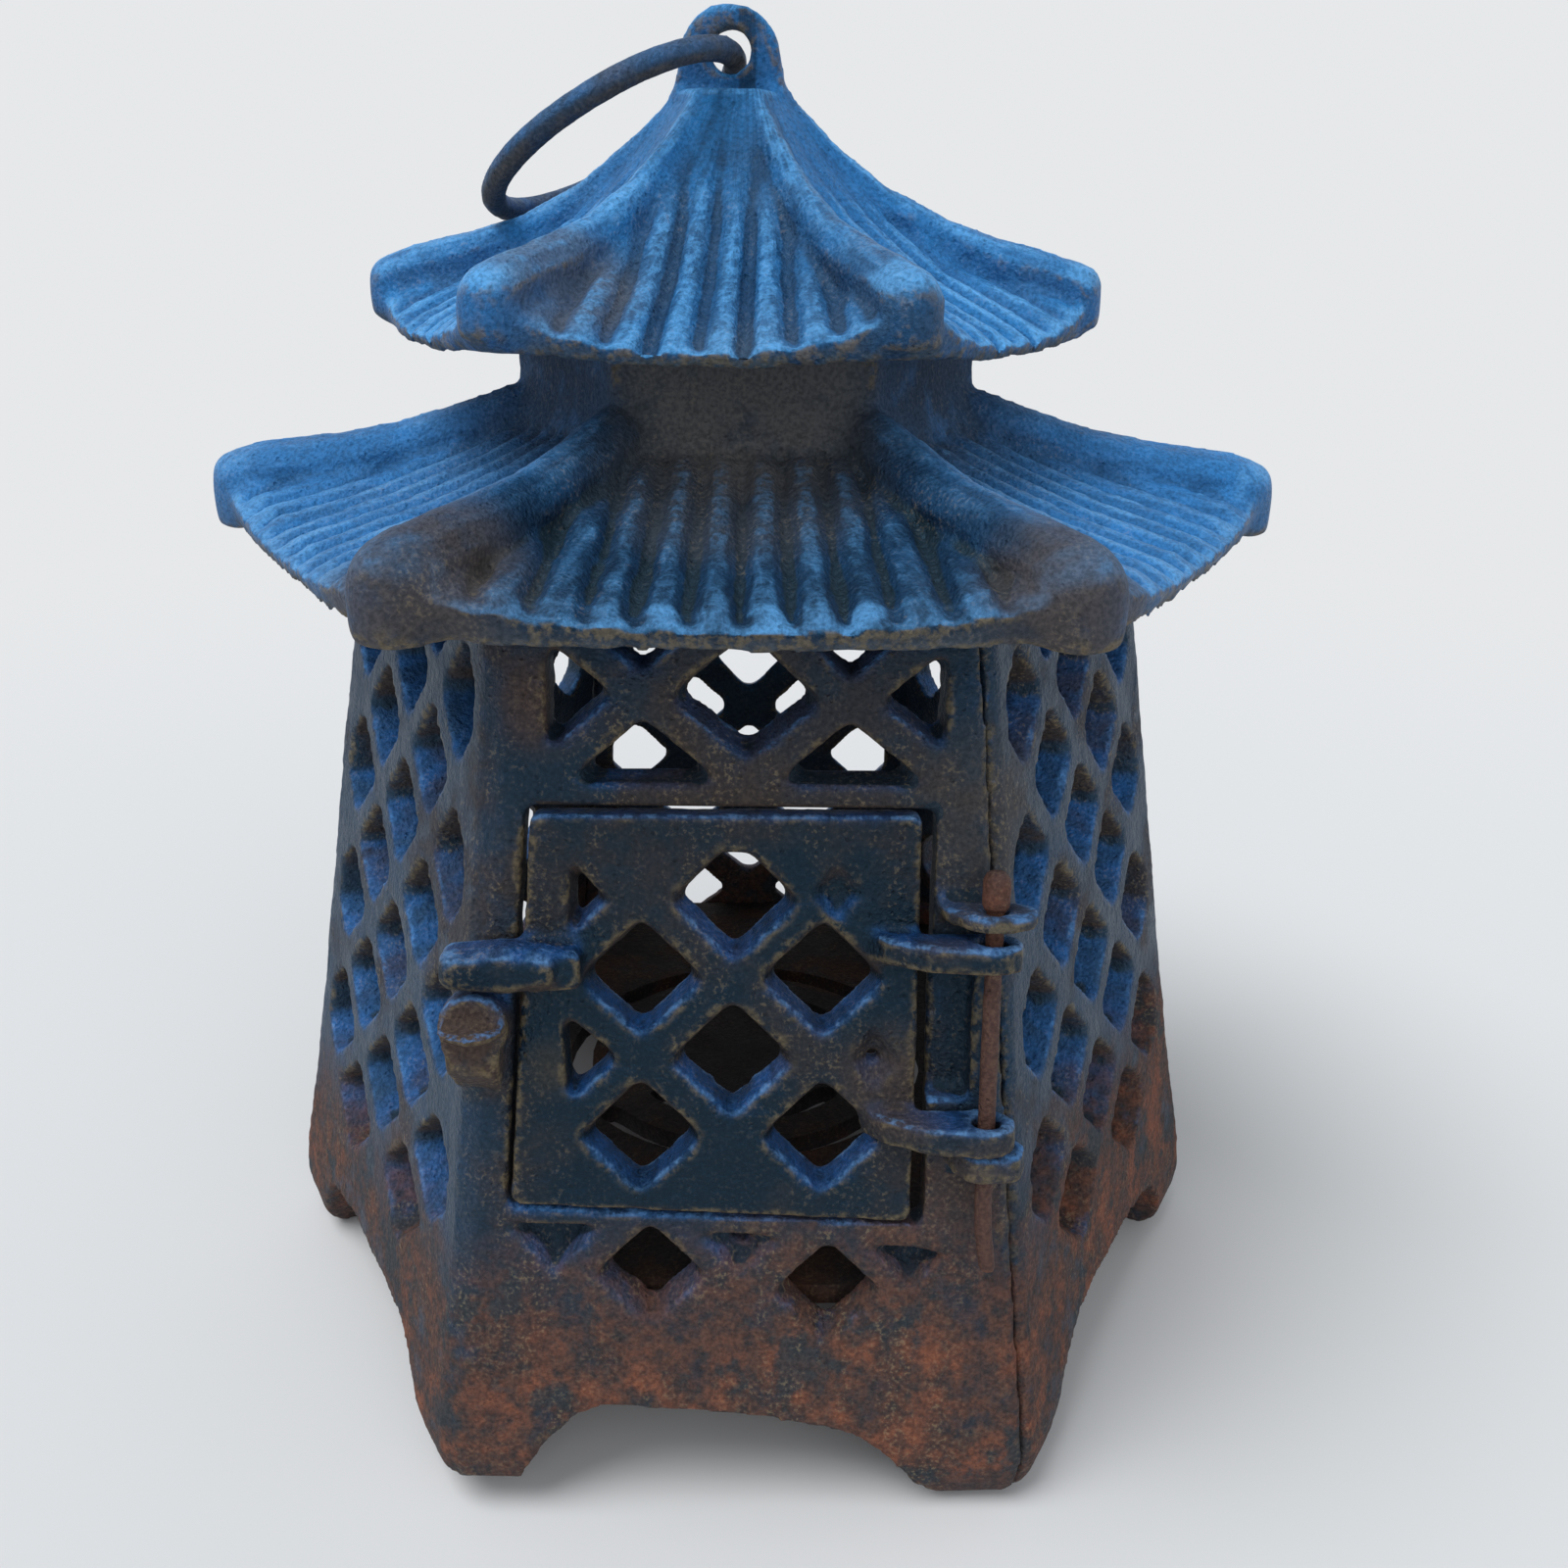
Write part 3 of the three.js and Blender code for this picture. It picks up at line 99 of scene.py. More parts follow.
def wherever(tree, *limits, share=None):
    """How far all the limits are met, times share. A limit is a measure, the two values
    between which it comes in, and the shares there if they aren't 0 and 1."""
    for measure, low, high, *shares in limits:
        least, most = shares or (0.0, 1.0)
        met = add(tree, "ShaderNodeMapRange",
                  {"Value": measure, "From Min": low, "From Max": high, "To Min": least, "To Max": most},
                  interpolation_type="SMOOTHSTEP")
        share = met if share is None else add(tree, "ShaderNodeMath", {0: share, 1: met},
                                              operation="MULTIPLY")
    return share


def seen_rays(tree):
    """1 for rays that show floor and backdrop, 0 for rays that only carry light."""
    rays = add(tree, "ShaderNodeLightPath").node.outputs
    seen = rays["Is Camera Ray"]
    for kind in ("Is Glossy Ray", "Is Transmission Ray"):
        seen = add(tree, "ShaderNodeMath", {0: seen, 1: rays[kind]}, operation="MAXIMUM")
    return seen


PALE = linear("#e6e8ea")
SHADOW_WITHIN, EVEN_BEYOND, FLOOR_REACH = 0.16, 0.75, 12  # metres from the lantern's middle

# Emulsion rolled on board: no gloss at all, only the soft shadow at the feet.
floor_paint = bpy.data.materials.new("matt_floor_paint")
floor_paint.use_nodes = True
floor_tree = floor_paint.node_tree
floor_bsdf = floor_tree.nodes["Principled BSDF"]
floor_bsdf.inputs["Base Color"].default_value = PALE
floor_bsdf.inputs["Roughness"].default_value = 1.0
floor_bsdf.inputs["Specular IOR Level"].default_value = 0.0
floor_spot = add(floor_tree, "ShaderNodeTexCoord", out="Object")
floor_away = add(floor_tree, "ShaderNodeVectorMath", {0: floor_spot}, out="Value", operation="LENGTH")
floor_share = wherever(floor_tree, (floor_away, SHADOW_WITHIN, EVEN_BEYOND),
                       (seen_rays(floor_tree), 0.0, 1.0))
floor_even = add(floor_tree, "ShaderNodeEmission", {"Color": PALE, "Strength": 1.0})
floor_mixed = add(floor_tree, "ShaderNodeMixShader",
                  {0: floor_share, 1: floor_bsdf.outputs["BSDF"], 2: floor_even})
floor_tree.links.new(floor_mixed, floor_tree.nodes["Material Output"].inputs["Surface"])

bpy.ops.mesh.primitive_circle_add(vertices=96, radius=FLOOR_REACH, fill_type="NGON", location=(0, 0, 0))
studio_floor = bpy.context.object
studio_floor.name = "studio_floor"
studio_floor.data.materials.append(floor_paint)

# The room is seen as the pale backdrop, and lights the lantern with a weaker white.
room = bpy.data.worlds.new("studio_room")
bpy.context.scene.world = room
room.use_nodes = True
room_tree = room.node_tree
room_tree.nodes.clear()
room_seen = add(room_tree, "ShaderNodeBackground", {"Color": PALE, "Strength": 1.0})
room_light = add(room_tree, "ShaderNodeBackground", {"Color": linear("#f4f7fb"), "Strength": 0.42})
room_mixed = add(room_tree, "ShaderNodeMixShader", {0: seen_rays(room_tree), 1: room_light, 2: room_seen})
room_end = room_tree.nodes.new("ShaderNodeOutputWorld")
room_tree.links.new(room_mixed, room_end.inputs["Surface"])

for name, strength, spread, from_where in (("broad_soft_light", 1.75, 38, (-0.42, -0.22, 0.95)),
                                           ("low_front_fill", 0.6, 60, (0.25, -0.85, 0.45))):
    light = bpy.data.lights.new(name, "SUN")
    light.energy = strength
    light.angle = math.radians(spread)
    lamp = bpy.data.objects.new(name, light)
    lamp.rotation_euler = Vector(from_where).to_track_quat("Z", "Y").to_euler()
    bpy.context.scene.collection.objects.link(lamp)


# Body. Two half shells of cast iron with lattice walls, poured in sand: a rough
# skin, edges rounded by the mould, faces that wander a little. Old black paint is
# left on them, blue where painted sky light falls on it, worn to brown on the edges
# and rusted from the feet up.
def sand_cast(node, name, paint, grain, passes, wander, skin, keep=1.0, crisp=0.0, blunt=0, carve=None):
    """A copy of the solid, remade as a casting. Its mesh has cells of grain mm, smoothed
    in so many passes and thinned to the share keep. Its faces wander by up to wander
    mm, and its skin is skin mm rough. The rest is told at skin_marks."""
    if bpy.context.object and bpy.context.object.mode != "OBJECT":
        bpy.ops.object.mode_set(mode="OBJECT")
    bpy.ops.object.select_all(action="DESELECT")
    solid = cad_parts[node]
    solid.select_set(True)
    bpy.context.view_layer.objects.active = solid
    bpy.ops.object.duplicate()
    piece = bpy.context.object
    piece.name = name
    piece.data.name = name
    bpy.ops.object.mode_set(mode="EDIT")
    bpy.ops.mesh.select_all(action="SELECT")
    bpy.ops.mesh.remove_doubles(threshold=0.002 * MM)
    bpy.ops.object.mode_set(mode="OBJECT")
    remesh = piece.modifiers.new("even_mesh", "REMESH")
    remesh.mode = "VOXEL"
    remesh.voxel_size = grain * MM
    smooth = piece.modifiers.new("rounded_by_sand", "SMOOTH")
    smooth.factor = 0.5
    smooth.iterations = passes
    if keep < 1:
        lighter = piece.modifiers.new("lighter_mesh", "DECIMATE")
        lighter.ratio = keep
    # dents 14 mm wide from a mould made by hand, and lumps of rammed sand 2.2 mm wide
    for label, width, height in (("uneven_mould", 14, wander), ("sand_skin", 2.2, skin)):
        clouds = bpy.data.textures.new(name + "_" + label, "CLOUDS")
        clouds.noise_scale = width * MM
        clouds.noise_depth = 2
        bumps = piece.modifiers.new(label, "DISPLACE")
        bumps.texture = clouds
        bumps.texture_coords = "LOCAL"
        bumps.mid_level = 0.5
        bumps.strength = height * MM
    for modifier in list(piece.modifiers):
        bpy.ops.object.modifier_apply(modifier=modifier.name)
    for polygon in piece.data.polygons:
        polygon.use_smooth = True
    skin_marks(piece.data, crisp, blunt, carve)
    piece.data.materials.clear()
    piece.data.materials.append(paint)
    return piece


def skin_marks(mesh, crisp, blunt, carve):
    """Rounds corners that lie further out than blunt mm, cuts what carve cuts, brings ribs
    out again by the share crisp, and keeps the mesh inside the solids' box. Then it
    stores how proud each point stands, 0.5 being flat: edge on the scale of sharp
    edges, ridge on that of whole ribs."""
    count = len(mesh.vertices)
    place, normal = np.zeros(count * 3), np.zeros(count * 3)
    mesh.vertices.foreach_get("co", place)
    mesh.vertices.foreach_get("normal", normal)
    place, normal = place.reshape(-1, 3), normal.reshape(-1, 3)
    pairs = np.zeros(len(mesh.edges) * 2, int)
    mesh.edges.foreach_get("vertices", pairs)
    pairs = pairs.reshape(-1, 2)
    degree = np.bincount(pairs.ravel(), minlength=count)[:, None].clip(1)

    def average(values):
        total = np.zeros_like(values)
        for k in range(values.shape[1]):
            total[:, k] = (np.bincount(pairs[:, 0], values[pairs[:, 1], k], count)
                           + np.bincount(pairs[:, 1], values[pairs[:, 0], k], count))
        return total / degree

    def calmed(values, rounds):
        for _ in range(rounds):
            values = 0.5 * values + 0.5 * average(values)
        return values

    if blunt:
        fade, fade_rounds, corner_rounds = 5 * MM, 6, 22
        reach = np.hypot(place[:, 0], place[:, 1])[:, None]
        share = ((reach - blunt * MM) / fade).clip(0, 1)
        place = place + calmed(share, fade_rounds) * (calmed(place, corner_rounds) - place)
    if carve:
        place = carve(place, normal)
    if crisp:
        rib_rounds, deepest, highest = 16, -0.9 * MM, 0.5 * MM
        proud = ((place - calmed(place, rib_rounds)) * normal).sum(1)[:, None]
        proud = average(average(proud))
        place = place + crisp * proud.clip(deepest, highest) * normal
    place = place.clip(solid_box[0], solid_box[1])
    mesh.vertices.foreach_set("co", place.ravel())
    mesh.update()
    for label, rounds, full_height in (("edge", 6, 0.25), ("ridge", 40, 1.1)):
        proud = ((place - calmed(place, rounds)) * normal).sum(1)[:, None]
        for _ in range(3):
            proud = 0.4 * proud + 0.6 * average(proud)
        layer = mesh.attributes.new(label, "FLOAT", "POINT")
        layer.data.foreach_set("value", np.clip(0.5 + proud[:, 0] / (2 * full_height * MM), 0, 1))


def coated(tree, ground, coats):
    """The ground with coats over it in their order, each as thick as its amount says."""
    colour = linear(ground)
    for amount, tone in coats:
        tone = linear(tone) if isinstance(tone, str) else tone
        colour = add(tree, "ShaderNodeMix", {0: amount, 6: colour, 7: tone}, out=2, data_type="RGBA")
    return colour


def painted_iron(name, front_shade_tone, side_tone, sheen_tone, crest_highlight_tone, bloom_tone, valley_tone,
                 ridges, edges, patchy, grit, looks_up, sound_roughness,
                 front_shade_share=0.0, rust_top=0, eave=0, wear_and_light_spots=()):
    """Paint and its wear, with light and shade painted into its colour. A painted sheen of
    the sky lies where the paint looks up by more than looks_up, valleys (darker, as painted
    shade) and crests (with painted highlights) lie below and above the two marks in ridges,
    and bare metal comes in between those in edges. patchy is the share of bloom, grit that
    of grains. The front takes its own darker tone and keeps less of the painted sheen, by the
    share given for that: painted shade. The tone of the other faces carries painted sky light
    on the roofs and body. Rust climbs to rust_top mm. An eave lies eave mm out; the rib ends
    there get a painted highlight. Each spot is a centre and reach in mm, an amount and a tone;
    most are wear, a few hold painted light."""
    material = bpy.data.materials.new(name)
    material.use_nodes = True
    tree = material.node_tree
    bsdf = tree.nodes["Principled BSDF"]
    where = add(tree, "ShaderNodeTexCoord").node.outputs
    spot = where["Object"]
    facing = add(tree, "ShaderNodeSeparateXYZ", {0: where["Normal"]}, out="Z")
    side, _, height = add(tree, "ShaderNodeSeparateXYZ", {0: spot}).node.outputs
    edge = add(tree, "ShaderNodeAttribute", out="Fac", attribute_name="edge")
    ridge = add(tree, "ShaderNodeAttribute", out="Fac", attribute_name="ridge")

    # Brush marks and runs are drawn out 4.5 times down the slope of roofs and walls,
    # and about true across it 70 mm from the middle of the lantern.
    outward = add(tree, "ShaderNodeVectorMath", {0: spot, 1: (1, 1, 0)}, operation="MULTIPLY")
    outward = add(tree, "ShaderNodeVectorMath", {0: outward}, operation="NORMALIZE")
    around = add(tree, "ShaderNodeVectorMath", {0: outward, "Scale": 0.07}, operation="SCALE")
    drawn = add(tree, "ShaderNodeVectorMath", {0: spot, "Scale": 0.22}, operation="SCALE")
    drawn = add(tree, "ShaderNodeVectorMath", {0: around, 1: drawn}, operation="ADD")

    # Patterns, with the width of their lumps in mm, their detail and roughness, and a
    # shift that keeps them apart. Moulding sand has grains of 0.3 mm, which wouldn't
    # show, so they are drawn at 0.7 mm.
    patterns = []
    for base, width, detail, roughness, shift in (
            (spot, 30, 4, 0.6, 0.0),     # broad: drifts, a brush wide
            (spot, 8, 5, 0.6, 3.1),      # mottle: patches, a rib wide
            (spot, 1.8, 4, 0.6, 7.7),    # fine: specks and chips
            (spot, 0.7, 3, 0.55, 1.3),   # sand: grains of the mould
            (drawn, 3.4, 4, 0.6, 0.4),   # streak: brush marks and runs
            (spot, 15, 5, 0.65, 9.4)):   # flakes: scale on the rust
        moved = add(tree, "ShaderNodeVectorMath", {0: base, 1: (shift, shift, shift)}, operation="ADD")
        patterns.append(add(tree, "ShaderNodeTexNoise", {"Vector": moved, "Scale": 1 / (width * MM),
                                                         "Detail": detail, "Roughness": roughness}))
    broad, mottle, fine, sand, streak, flakes = patterns

    # the front, darker as painted shade, is what lies within about 30 degrees of straight ahead
    front = wherever(tree, (add(tree, "ShaderNodeSeparateXYZ", {0: outward}, out="Y"), -0.82, -0.90))
    # painted reflection of the sky where the paint looks up, less in front as painted shade
    sheen = wherever(tree, (facing, looks_up, looks_up + 0.6), (front, 0.0, 1.0, 1.0, 1 - front_shade_share),
                     (mottle, 0.34, 0.58, 0.55, 1.0), (streak, 0.38, 0.60, 0.5, 1.0),
                     (broad, 0.38, 0.56, 0.6, 1.0))
    # painted highlights along the crests, weaker in front; painted shade in the valleys, which lose the
    # sheen and take the darker valley tone in front
    crest = wherever(tree, (ridge, ridges[1], ridges[1] + 0.16), (facing, 0.1, 0.7),
                     (streak, 0.42, 0.62, 0.1, 0.8),
                     (front, 0.0, 1.0, 1.0, 0.42 if front_shade_share else 0.6))
    sunk = wherever(tree, (ridge, ridges[0], ridges[0] - 0.12, 0.0, 0.85))
    coats = [(front, front_shade_tone), (sheen, sheen_tone), (crest, crest_highlight_tone),
             (sunk, coated(tree, side_tone, [(front, valley_tone)]))]

    if eave:
        # Each rib ends in a small facet that gets a painted highlight. How far out it lies is measured
        # square to the nearest of the six eaves: front, rear, and 30 degrees off the sides.
        out = 0.0
        for square in ((0, 1, 0), (0.866, 0.5, 0), (0.866, -0.5, 0)):
            reach = add(tree, "ShaderNodeVectorMath", {0: spot, 1: square}, out="Value",
                        operation="DOT_PRODUCT")
            reach = add(tree, "ShaderNodeMath", {0: reach}, operation="ABSOLUTE")
            out = add(tree, "ShaderNodeMath", {0: out, 1: reach}, operation="MAXIMUM")
        facet = wherever(tree, (out, (eave - 5.4) * MM, (eave - 3.6) * MM),
                         (ridge, ridges[0] + 0.02, ridges[0] + 0.16), (facing, 0.15, 0.5),
                         (mottle, 0.40, 0.62, 0.0, 0.65))
        coats.append((facet, crest_highlight_tone))

    # brown bloom: in patches, on faces turned down and round worn places
    bloom = add(tree, "ShaderNodeMath", {0: wherever(tree, (broad, 0.47, 0.62, 0.0, patchy)),
                                         1: wherever(tree, (facing, 0.05, -0.60, 0.0, 0.85))},
                operation="MAXIMUM")
    bloom = wherever(tree, (mottle, 0.34, 0.54, 0.3, 1.0), share=bloom)
    coats.append((bloom, bloom_tone))
    dull = bloom
    for centre, reach, amount, tone in wear_and_light_spots:
        away = add(tree, "ShaderNodeVectorMath", {0: spot, 1: tuple(Vector(centre) * MM)}, out="Value",
                   operation="DISTANCE")
        near = wherever(tree, (away, reach * MM, reach / 2 * MM, 0.0, amount),
                        (mottle, 0.30, 0.50, 0.5, 1.0))
        coats.append((near, tone))
        dull = add(tree, "ShaderNodeMath", {0: dull, 1: near}, operation="MAXIMUM")

    # edges: ochre where the paint has gone from their sides, a painted glint of sky light on top
    bare = wherever(tree, (edge, edges[0], edges[1]), (fine, 0.42, 0.58))
    tops = wherever(tree, (facing, 0.30, 0.70, 0.0, 0.4),
                    (front, 0.0, 1.0, 1.0, 1 - max(0, front_shade_share - 0.3)), share=bare)
    bare = wherever(tree, (facing, 0.60, 0.20, 0.0, 0.55), share=bare)
    coats += [(bare, "#74664a"), (tops, crest_highlight_tone)]

    if rust_top:
        # rust climbs from the ground, higher on the right and in drifts: brown, with
        # more orange lower down, and dark scale in flakes and on the toes
        climb = add(tree, "ShaderNodeMath", {0: broad, 1: -0.04, 2: height}, operation="MULTIPLY_ADD")
        climb = add(tree, "ShaderNodeMath", {0: side, 1: -0.12, 2: climb}, operation="MULTIPLY_ADD")
        rusted = wherever(tree, (climb, (rust_top - 8) * MM, (rust_top - 38) * MM),
                          (mottle, 0.28, 0.48, 0.4, 1.0))
        orange = wherever(tree, (climb, (rust_top - 26) * MM, (rust_top - 52) * MM, 0.1, 0.9),
                          (mottle, 0.44, 0.68), (fine, 0.34, 0.62, 0.55, 1.0))
        toes = wherever(tree, (height, 12 * MM, 3 * MM, 0.0, 0.7), (mottle, 0.4, 0.6))
        scale = add(tree, "ShaderNodeMath", {0: wherever(tree, (flakes, 0.53, 0.62, 0.0, 0.8)), 1: toes},
                    operation="MAXIMUM")
        rust = coated(tree, "#3c3432", [(wherever(tree, (fine, 0.32, 0.68)), "#5d4237"),
                                        (orange, "#85513a"), (scale, "#31373b")])
        dull = add(tree, "ShaderNodeMath", {0: dull, 1: rusted}, operation="MAXIMUM")
        # painted shade: the floors of the blind recesses and other sunk places above about 40 mm are
        # painted dark over the rust
        recess = wherever(tree, (height, 40 * MM, 46 * MM), share=sunk)
        coats += [(rusted, rust), (recess, valley_tone)]

    # ochre and grey grains in the sandy skin, in drifts
    grains = wherever(tree, (sand, 0.54, 0.66), (streak, 0.42, 0.62, 0.1, 1.0),
                      (broad, 0.38, 0.58, 0.2, 1.0), share=grit)
    coats.append((grains, "#8f8061"))
    colour = add(tree, "ShaderNodeHueSaturation", {"Value": wherever(tree, (sand, 0.32, 0.62, 0.74, 1.18)),
                                                   "Color": coated(tree, side_tone, coats)})
    tree.links.new(colour, bsdf.inputs["Base Color"])

    # sound paint has some gloss, its reflections tinted blue as a painted reflection of the sky; bloom and
    # rust have none
    sound = wherever(tree, (mottle, 0.3, 0.7, sound_roughness, sound_roughness + 0.14))
    rough = add(tree, "ShaderNodeMix", {0: dull, 2: sound, 3: 0.86})
    tree.links.new(rough, bsdf.inputs["Roughness"])
    bsdf.inputs["Specular IOR Level"].default_value = 0.3
    bsdf.inputs["Specular Tint"].default_value = (0.35, 0.70, 1.0, 1.0)

    # pits 1.9 mm apart under the grains and brush marks
    pits = add(tree, "ShaderNodeTexVoronoi", {"Vector": spot, "Scale": 1 / (1.9 * MM)}, out="Distance")
    relief = wherever(tree, (pits, 0.02, 0.22, 0.0, 0.35))
    for pattern, share in ((fine, 0.8), (sand, 0.5), (streak, 0.6)):
        relief = add(tree, "ShaderNodeMath", {0: pattern, 1: share, 2: relief}, operation="MULTIPLY_ADD")
    bump = add(tree, "ShaderNodeBump", {"Height": relief, "Distance": 0.7 * MM, "Strength": 1.0})
    tree.links.new(bump, bsdf.inputs["Normal"])
    return material


# Oil paint brushed on sand-cast iron, weathered: dull and grainy, black where it is
# sound, with painted sky light in blue on the sides and where it looks up, painted shade
# on the front, brown where it has thinned, and rusted like the ground at the feet.
body_paint = painted_iron(
    "black_paint_on_cast_iron", front_shade_tone="#1b2531", side_tone="#263648", sheen_tone="#2b65a8",
    crest_highlight_tone="#5f9bdc", bloom_tone="#43362c", valley_tone="#1d2935", ridges=(0.45, 0.80),
    edges=(0.70, 0.84), patchy=0.65, grit=0.34, looks_up=0.08, sound_roughness=0.38, front_shade_share=0.3,
    rust_top=54,
    wear_and_light_spots=(((-43, -84, 89), 14, 1.0, "#4a3c34"), ((37, -84, 62), 14, 0.8, "#4a3f3b"),
          ((-30, -72, 142), 12, 0.6, "#574132"), ((6, -72, 140), 30, 0.5, "#443830"),
          ((44, -72, 122), 24, 0.5, "#4a4644")))
for node, name in (("front_body_half", "front_half_casting"), ("rear_body_half", "rear_half_casting")):
    half = sand_cast(node, name, body_paint, grain=0.8, passes=3, wander=0.8, skin=0.3, keep=0.52)
    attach(half, "lantern")
    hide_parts(node)

# Lattice door. A thin casting with half-round bars, a tab that catches over the
# ear beside it and two ears that take the pin; its paint is the best kept.

# The same paint on a finer casting: darker, closer and a little glossier, with
# brown only where a hand or the ears have rubbed it. Painted sky sheen and painted
# highlights lie on the faces and bar edges that look up.
door_paint = painted_iron(
    "black_paint_on_cast_door", front_shade_tone="#0e1924", side_tone="#0e1924", sheen_tone="#245390",
    crest_highlight_tone="#6f9fd4", bloom_tone="#42352c", valley_tone="#10161e", ridges=(0.44, 0.66),
    edges=(0.56, 0.70), patchy=0.4, grit=0.24, looks_up=0.14, sound_roughness=0.34,
    # the first spot takes the painted sheen off the tab; the others are wear
    wear_and_light_spots=(((-43, -86, 98), 13, 0.75, "#0f1b28"), ((24, -82, 83), 13, 0.8, "#433833"),
          ((31, -80, 112), 9, 0.6, "#433833"), ((-30, -82, 84), 9, 0.6, "#4a4133"),
          ((40, -86, 66), 14, 0.7, "#3f3838")))
lattice_door = sand_cast("door", "lattice_door", door_paint, grain=0.6, passes=12, wander=0.4, skin=0.25)
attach(lattice_door, "door")
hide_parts("door")

# Lower roof. A ribbed casting with raised hips and the neck on top; brown and
# nearly bare in front round the neck, black on its sides under a painted reflection
# of the sky.

# Black paint on ribbed iron with painted light: the sides carry a painted reflection of
# the sky, the ribs in front are navy as painted shade with painted highlights on their
# ends at the eave, and the front hips and the neck are bare brown.
lower_paint = painted_iron(
    "black_paint_and_painted_sky_on_lower_roof", front_shade_tone="#0d1e32", side_tone="#2a5f92", sheen_tone="#3482c8",
    crest_highlight_tone="#5a9cd6", bloom_tone="#4a5058", valley_tone="#1b282e", ridges=(0.42, 0.62),
    edges=(0.66, 0.84), patchy=0.2, grit=0.24, looks_up=-0.05, sound_roughness=0.4, front_shade_share=0.8,
    eave=86.6,
    wear_and_light_spots=(((0, 0, 184), 66, 0.9, "#3a424e"), ((0, -48, 170), 26, 0.75, "#383a40"),
          # the neck's spot is written lighter than its bare metal: painted light against the shade under
          # the upper roof
          ((0, -38, 188), 26, 0.85, "#62605f"),
          ((-47, -76, 160), 22, 0.75, "#4e453f"), ((49, -80, 160), 20, 0.75, "#4e453f")))
lower_roof = sand_cast("lower_roof", "lower_roof_casting", lower_paint, grain=0.9, passes=4, wander=0.9,
                       skin=0.35, keep=0.8, crisp=0.3, blunt=91)
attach(lower_roof, "lantern")
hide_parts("lower_roof")


# Upper roof. The smaller ribbed casting with the lug for the ring; it gets the
# strongest painted reflection of the sky, in the bluest tones, with brown only on hips and rim.
def rib_valleys(place, normal):
    """Two more valleys down each face, to either side of its middle. Lengths in mm."""
    shift, turn = -2.8, math.radians(-4)  # the roof stands to the left and is turned
    from_middle, half_width, depth = 7.0, 2.2, 2.0
    eave, drawn_in = 57.2, 0.0066  # share by which the ribs close up for each mm inwards
    starts, full_after = 17, 12
    hip_slope = 0.5774  # the tangent of 30 degrees, where a face ends at its hips
    x, y = place[:, 0] / MM - shift, place[:, 1] / MM
    down = np.zeros(len(place))
    for k in range(6):
        angle = math.radians(30 + 60 * k) + turn
        out = x * math.cos(angle) + y * math.sin(angle)
        across = np.abs(y * math.cos(angle) - x * math.sin(angle))
        column = across / (1 - drawn_in * (eave - out.clip(0, eave)))
        groove = (1 - np.abs(column - from_middle) / half_width).clip(0, 1)
        groove = groove * ((out - starts) / full_after).clip(0, 1)
        down = np.maximum(down, np.where(across < out * hip_slope, groove, 0))
    lowered = place.copy()
    lowered[:, 2] -= depth * MM * down * (normal[:, 2] / 0.5).clip(0, 1)
    return lowered


# Black paint that looks straight at the sky, its blue a painted reflection of the sky:
# worn and powdery on the slopes, deeper in the valleys as painted shade, with painted
# highlights along the crests.
upper_paint = painted_iron(
    "black_paint_and_painted_sky_on_upper_roof", front_shade_tone="#1a4168", side_tone="#28629a", sheen_tone="#2a7dc0",
    crest_highlight_tone="#5fabea", bloom_tone="#4d5860", valley_tone="#133659", ridges=(0.46, 0.58),
    edges=(0.60, 0.74), patchy=0.22, grit=0.2, looks_up=-0.10, sound_roughness=0.38, front_shade_share=0.30,
    eave=57.2, wear_and_light_spots=(((-28, -44, 200), 16, 0.6, "#5a5a5c"), ((0, -52, 186), 12, 0.3, "#4d5860")))
upper_roof = sand_cast("upper_roof", "upper_roof_casting", upper_paint, grain=0.75, passes=4, wander=0.8,
                       skin=0.3, crisp=0.5, blunt=60, carve=rib_valleys)
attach(upper_roof, "lantern")
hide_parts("upper_roof")

# Ring. Thick wire, bent round, closed and painted with the lantern; it hangs
# loose in the eye of the lug and is brown where it was handled.

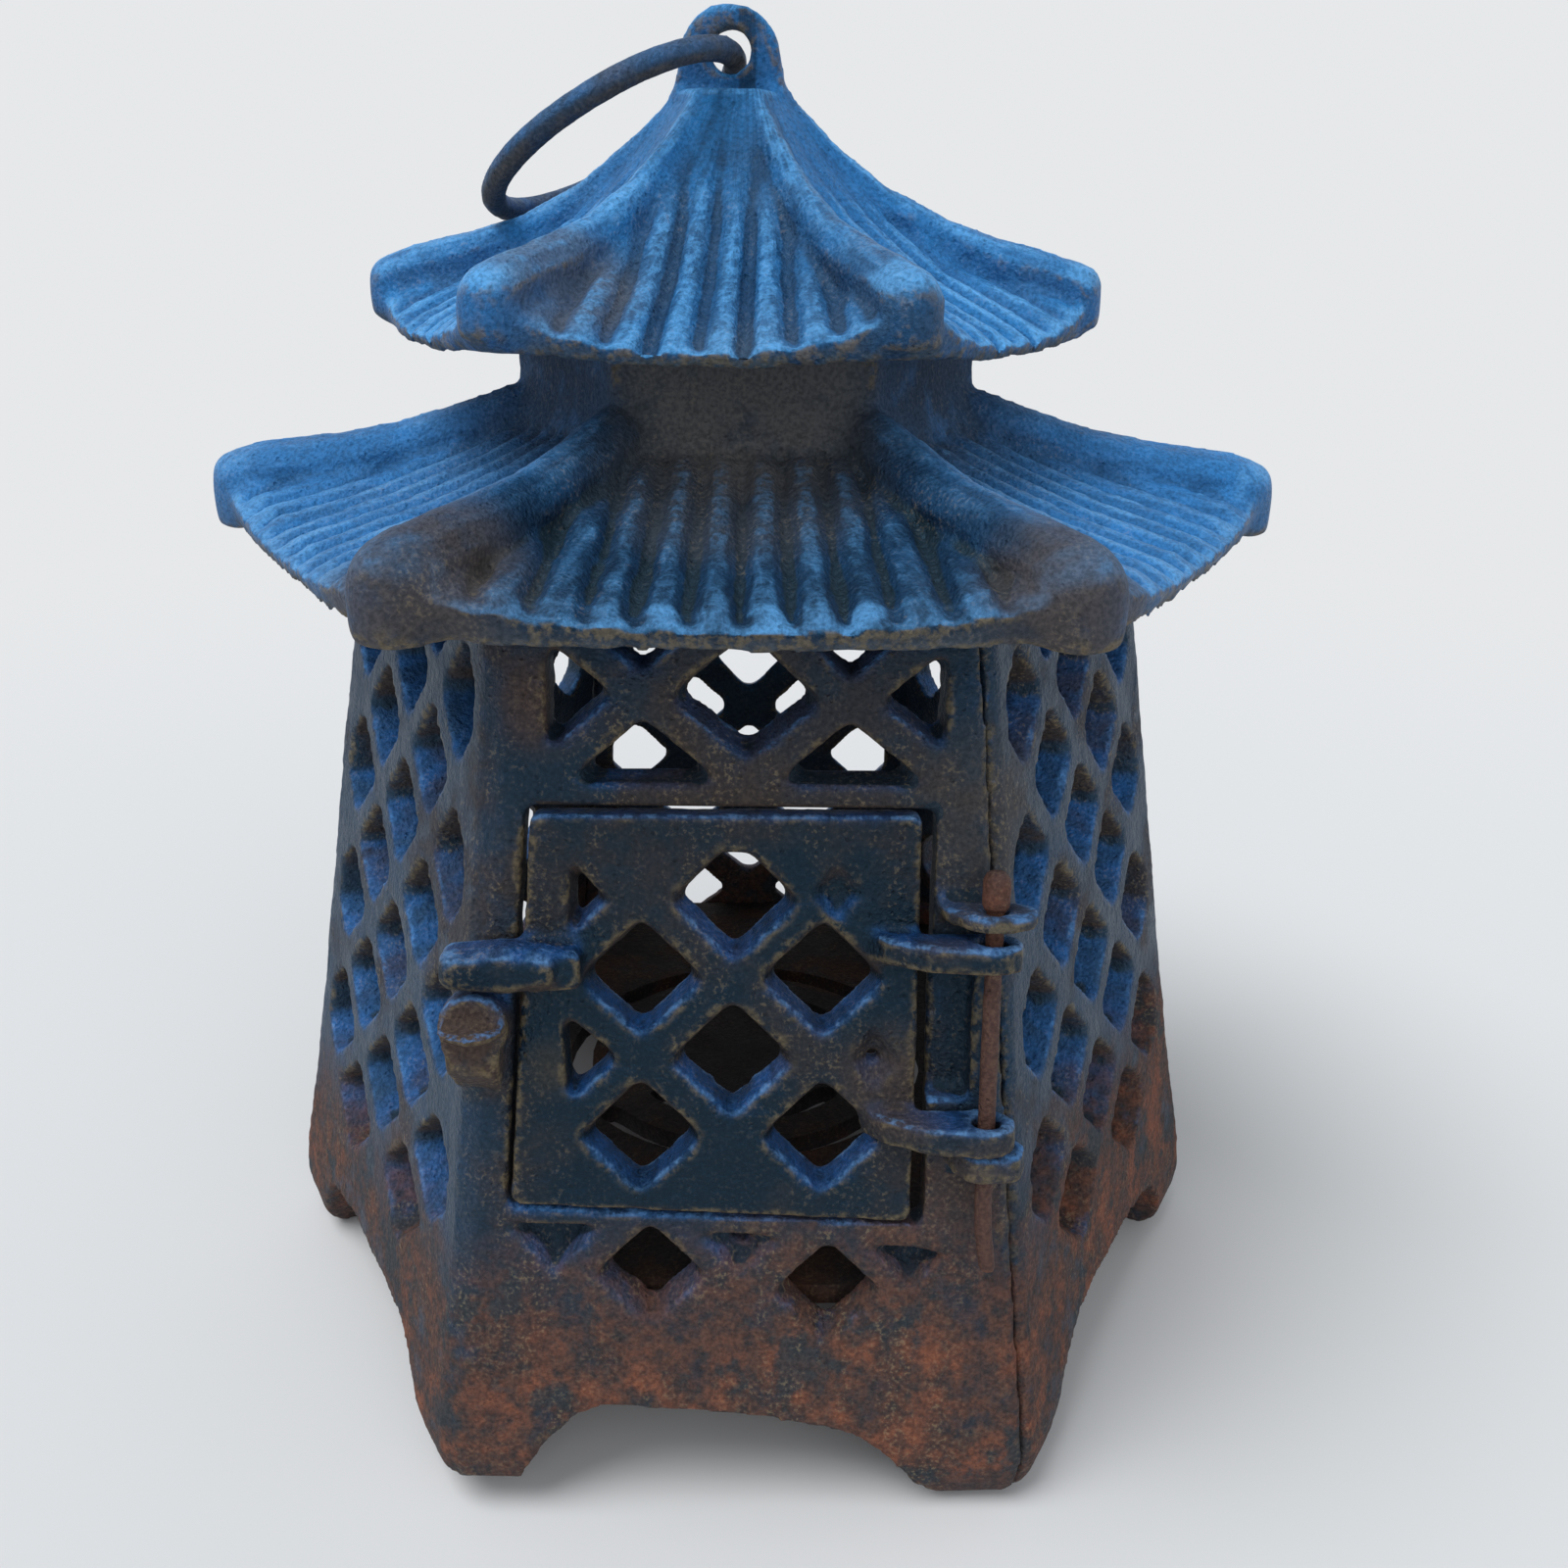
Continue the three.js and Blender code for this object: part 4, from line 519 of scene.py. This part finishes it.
# Paint on drawn wire: even and fairly smooth, with a soft gloss along the bend, and a painted sky sheen
# and painted glints where it looks up.
ring_paint = painted_iron(
    "blue_black_paint_on_wire", front_shade_tone="#2a3a4e", side_tone="#2a3a4e", sheen_tone="#3a6596",
    crest_highlight_tone="#6d8cb0", bloom_tone="#4d4844", valley_tone="#26364a", ridges=(0.3, 0.9),
    edges=(0.8, 0.95), patchy=0.6, grit=0.15, looks_up=-0.3, sound_roughness=0.44)
wire_ring = sand_cast("hanging_ring", "wire_ring", ring_paint, grain=0.5, passes=3, wander=0.2, skin=0.1)
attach(wire_ring, "ring")
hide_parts("hanging_ring")

# Hinge pin. A rusted nail: a thick head, a thin shank and a lower end that is
# bent against the wall, so that it can't be drawn out.

# Nail steel that was never painted: red-brown and pitted all over, with no gloss; greyer where it looks up
# as painted sky light, with painted glints on its upper edges.
pin_rust = painted_iron(
    "rusted_nail_steel", front_shade_tone="#52392f", side_tone="#52392f", sheen_tone="#4f4a4c",
    crest_highlight_tone="#77706e", bloom_tone="#6b4433", valley_tone="#3f2c26", ridges=(0.3, 0.9),
    edges=(0.7, 0.95), patchy=0.9, grit=0.3, looks_up=0.35, sound_roughness=0.6)
pin = sand_cast("hinge_pin", "rusted_hinge_pin", pin_rust, grain=0.35, passes=3, wander=0.2, skin=0.15)
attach(pin, "lantern")
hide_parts("hinge_pin")

# Floor plate, rods and their fasteners. A cast plate that two rods with nuts and
# washers hold under the roof, and the bolt that holds the roofs together: bare
# iron and steel inside the lantern, which keep the shape of the solids.

# Brown rust under soot: dark and dull all over, a little lighter where it looks up as
# painted sky light. The solids carry no marks of edge and ridge, so the limits for these
# are out of reach.
floor_rust = painted_iron(
    "brown_rust_on_cast_plate", front_shade_tone="#2a211c", side_tone="#2a211c", sheen_tone="#35281f",
    crest_highlight_tone="#4d4038", bloom_tone="#4a3020", valley_tone="#201a16", ridges=(-1.0, 2.0),
    edges=(2.0, 3.0), patchy=0.9, grit=0.15, looks_up=0.4, sound_roughness=0.7)
for node in ("floor_plate", "tie_rod_left", "tie_rod_right", "tie_rod_washer_left", "tie_rod_washer_right",
             "tie_rod_nut_left", "tie_rod_nut_right", "crown_bolt"):
    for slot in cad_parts[node].material_slots:
        slot.material = floor_rust

bpy.context.scene.view_settings.view_transform = "Standard"
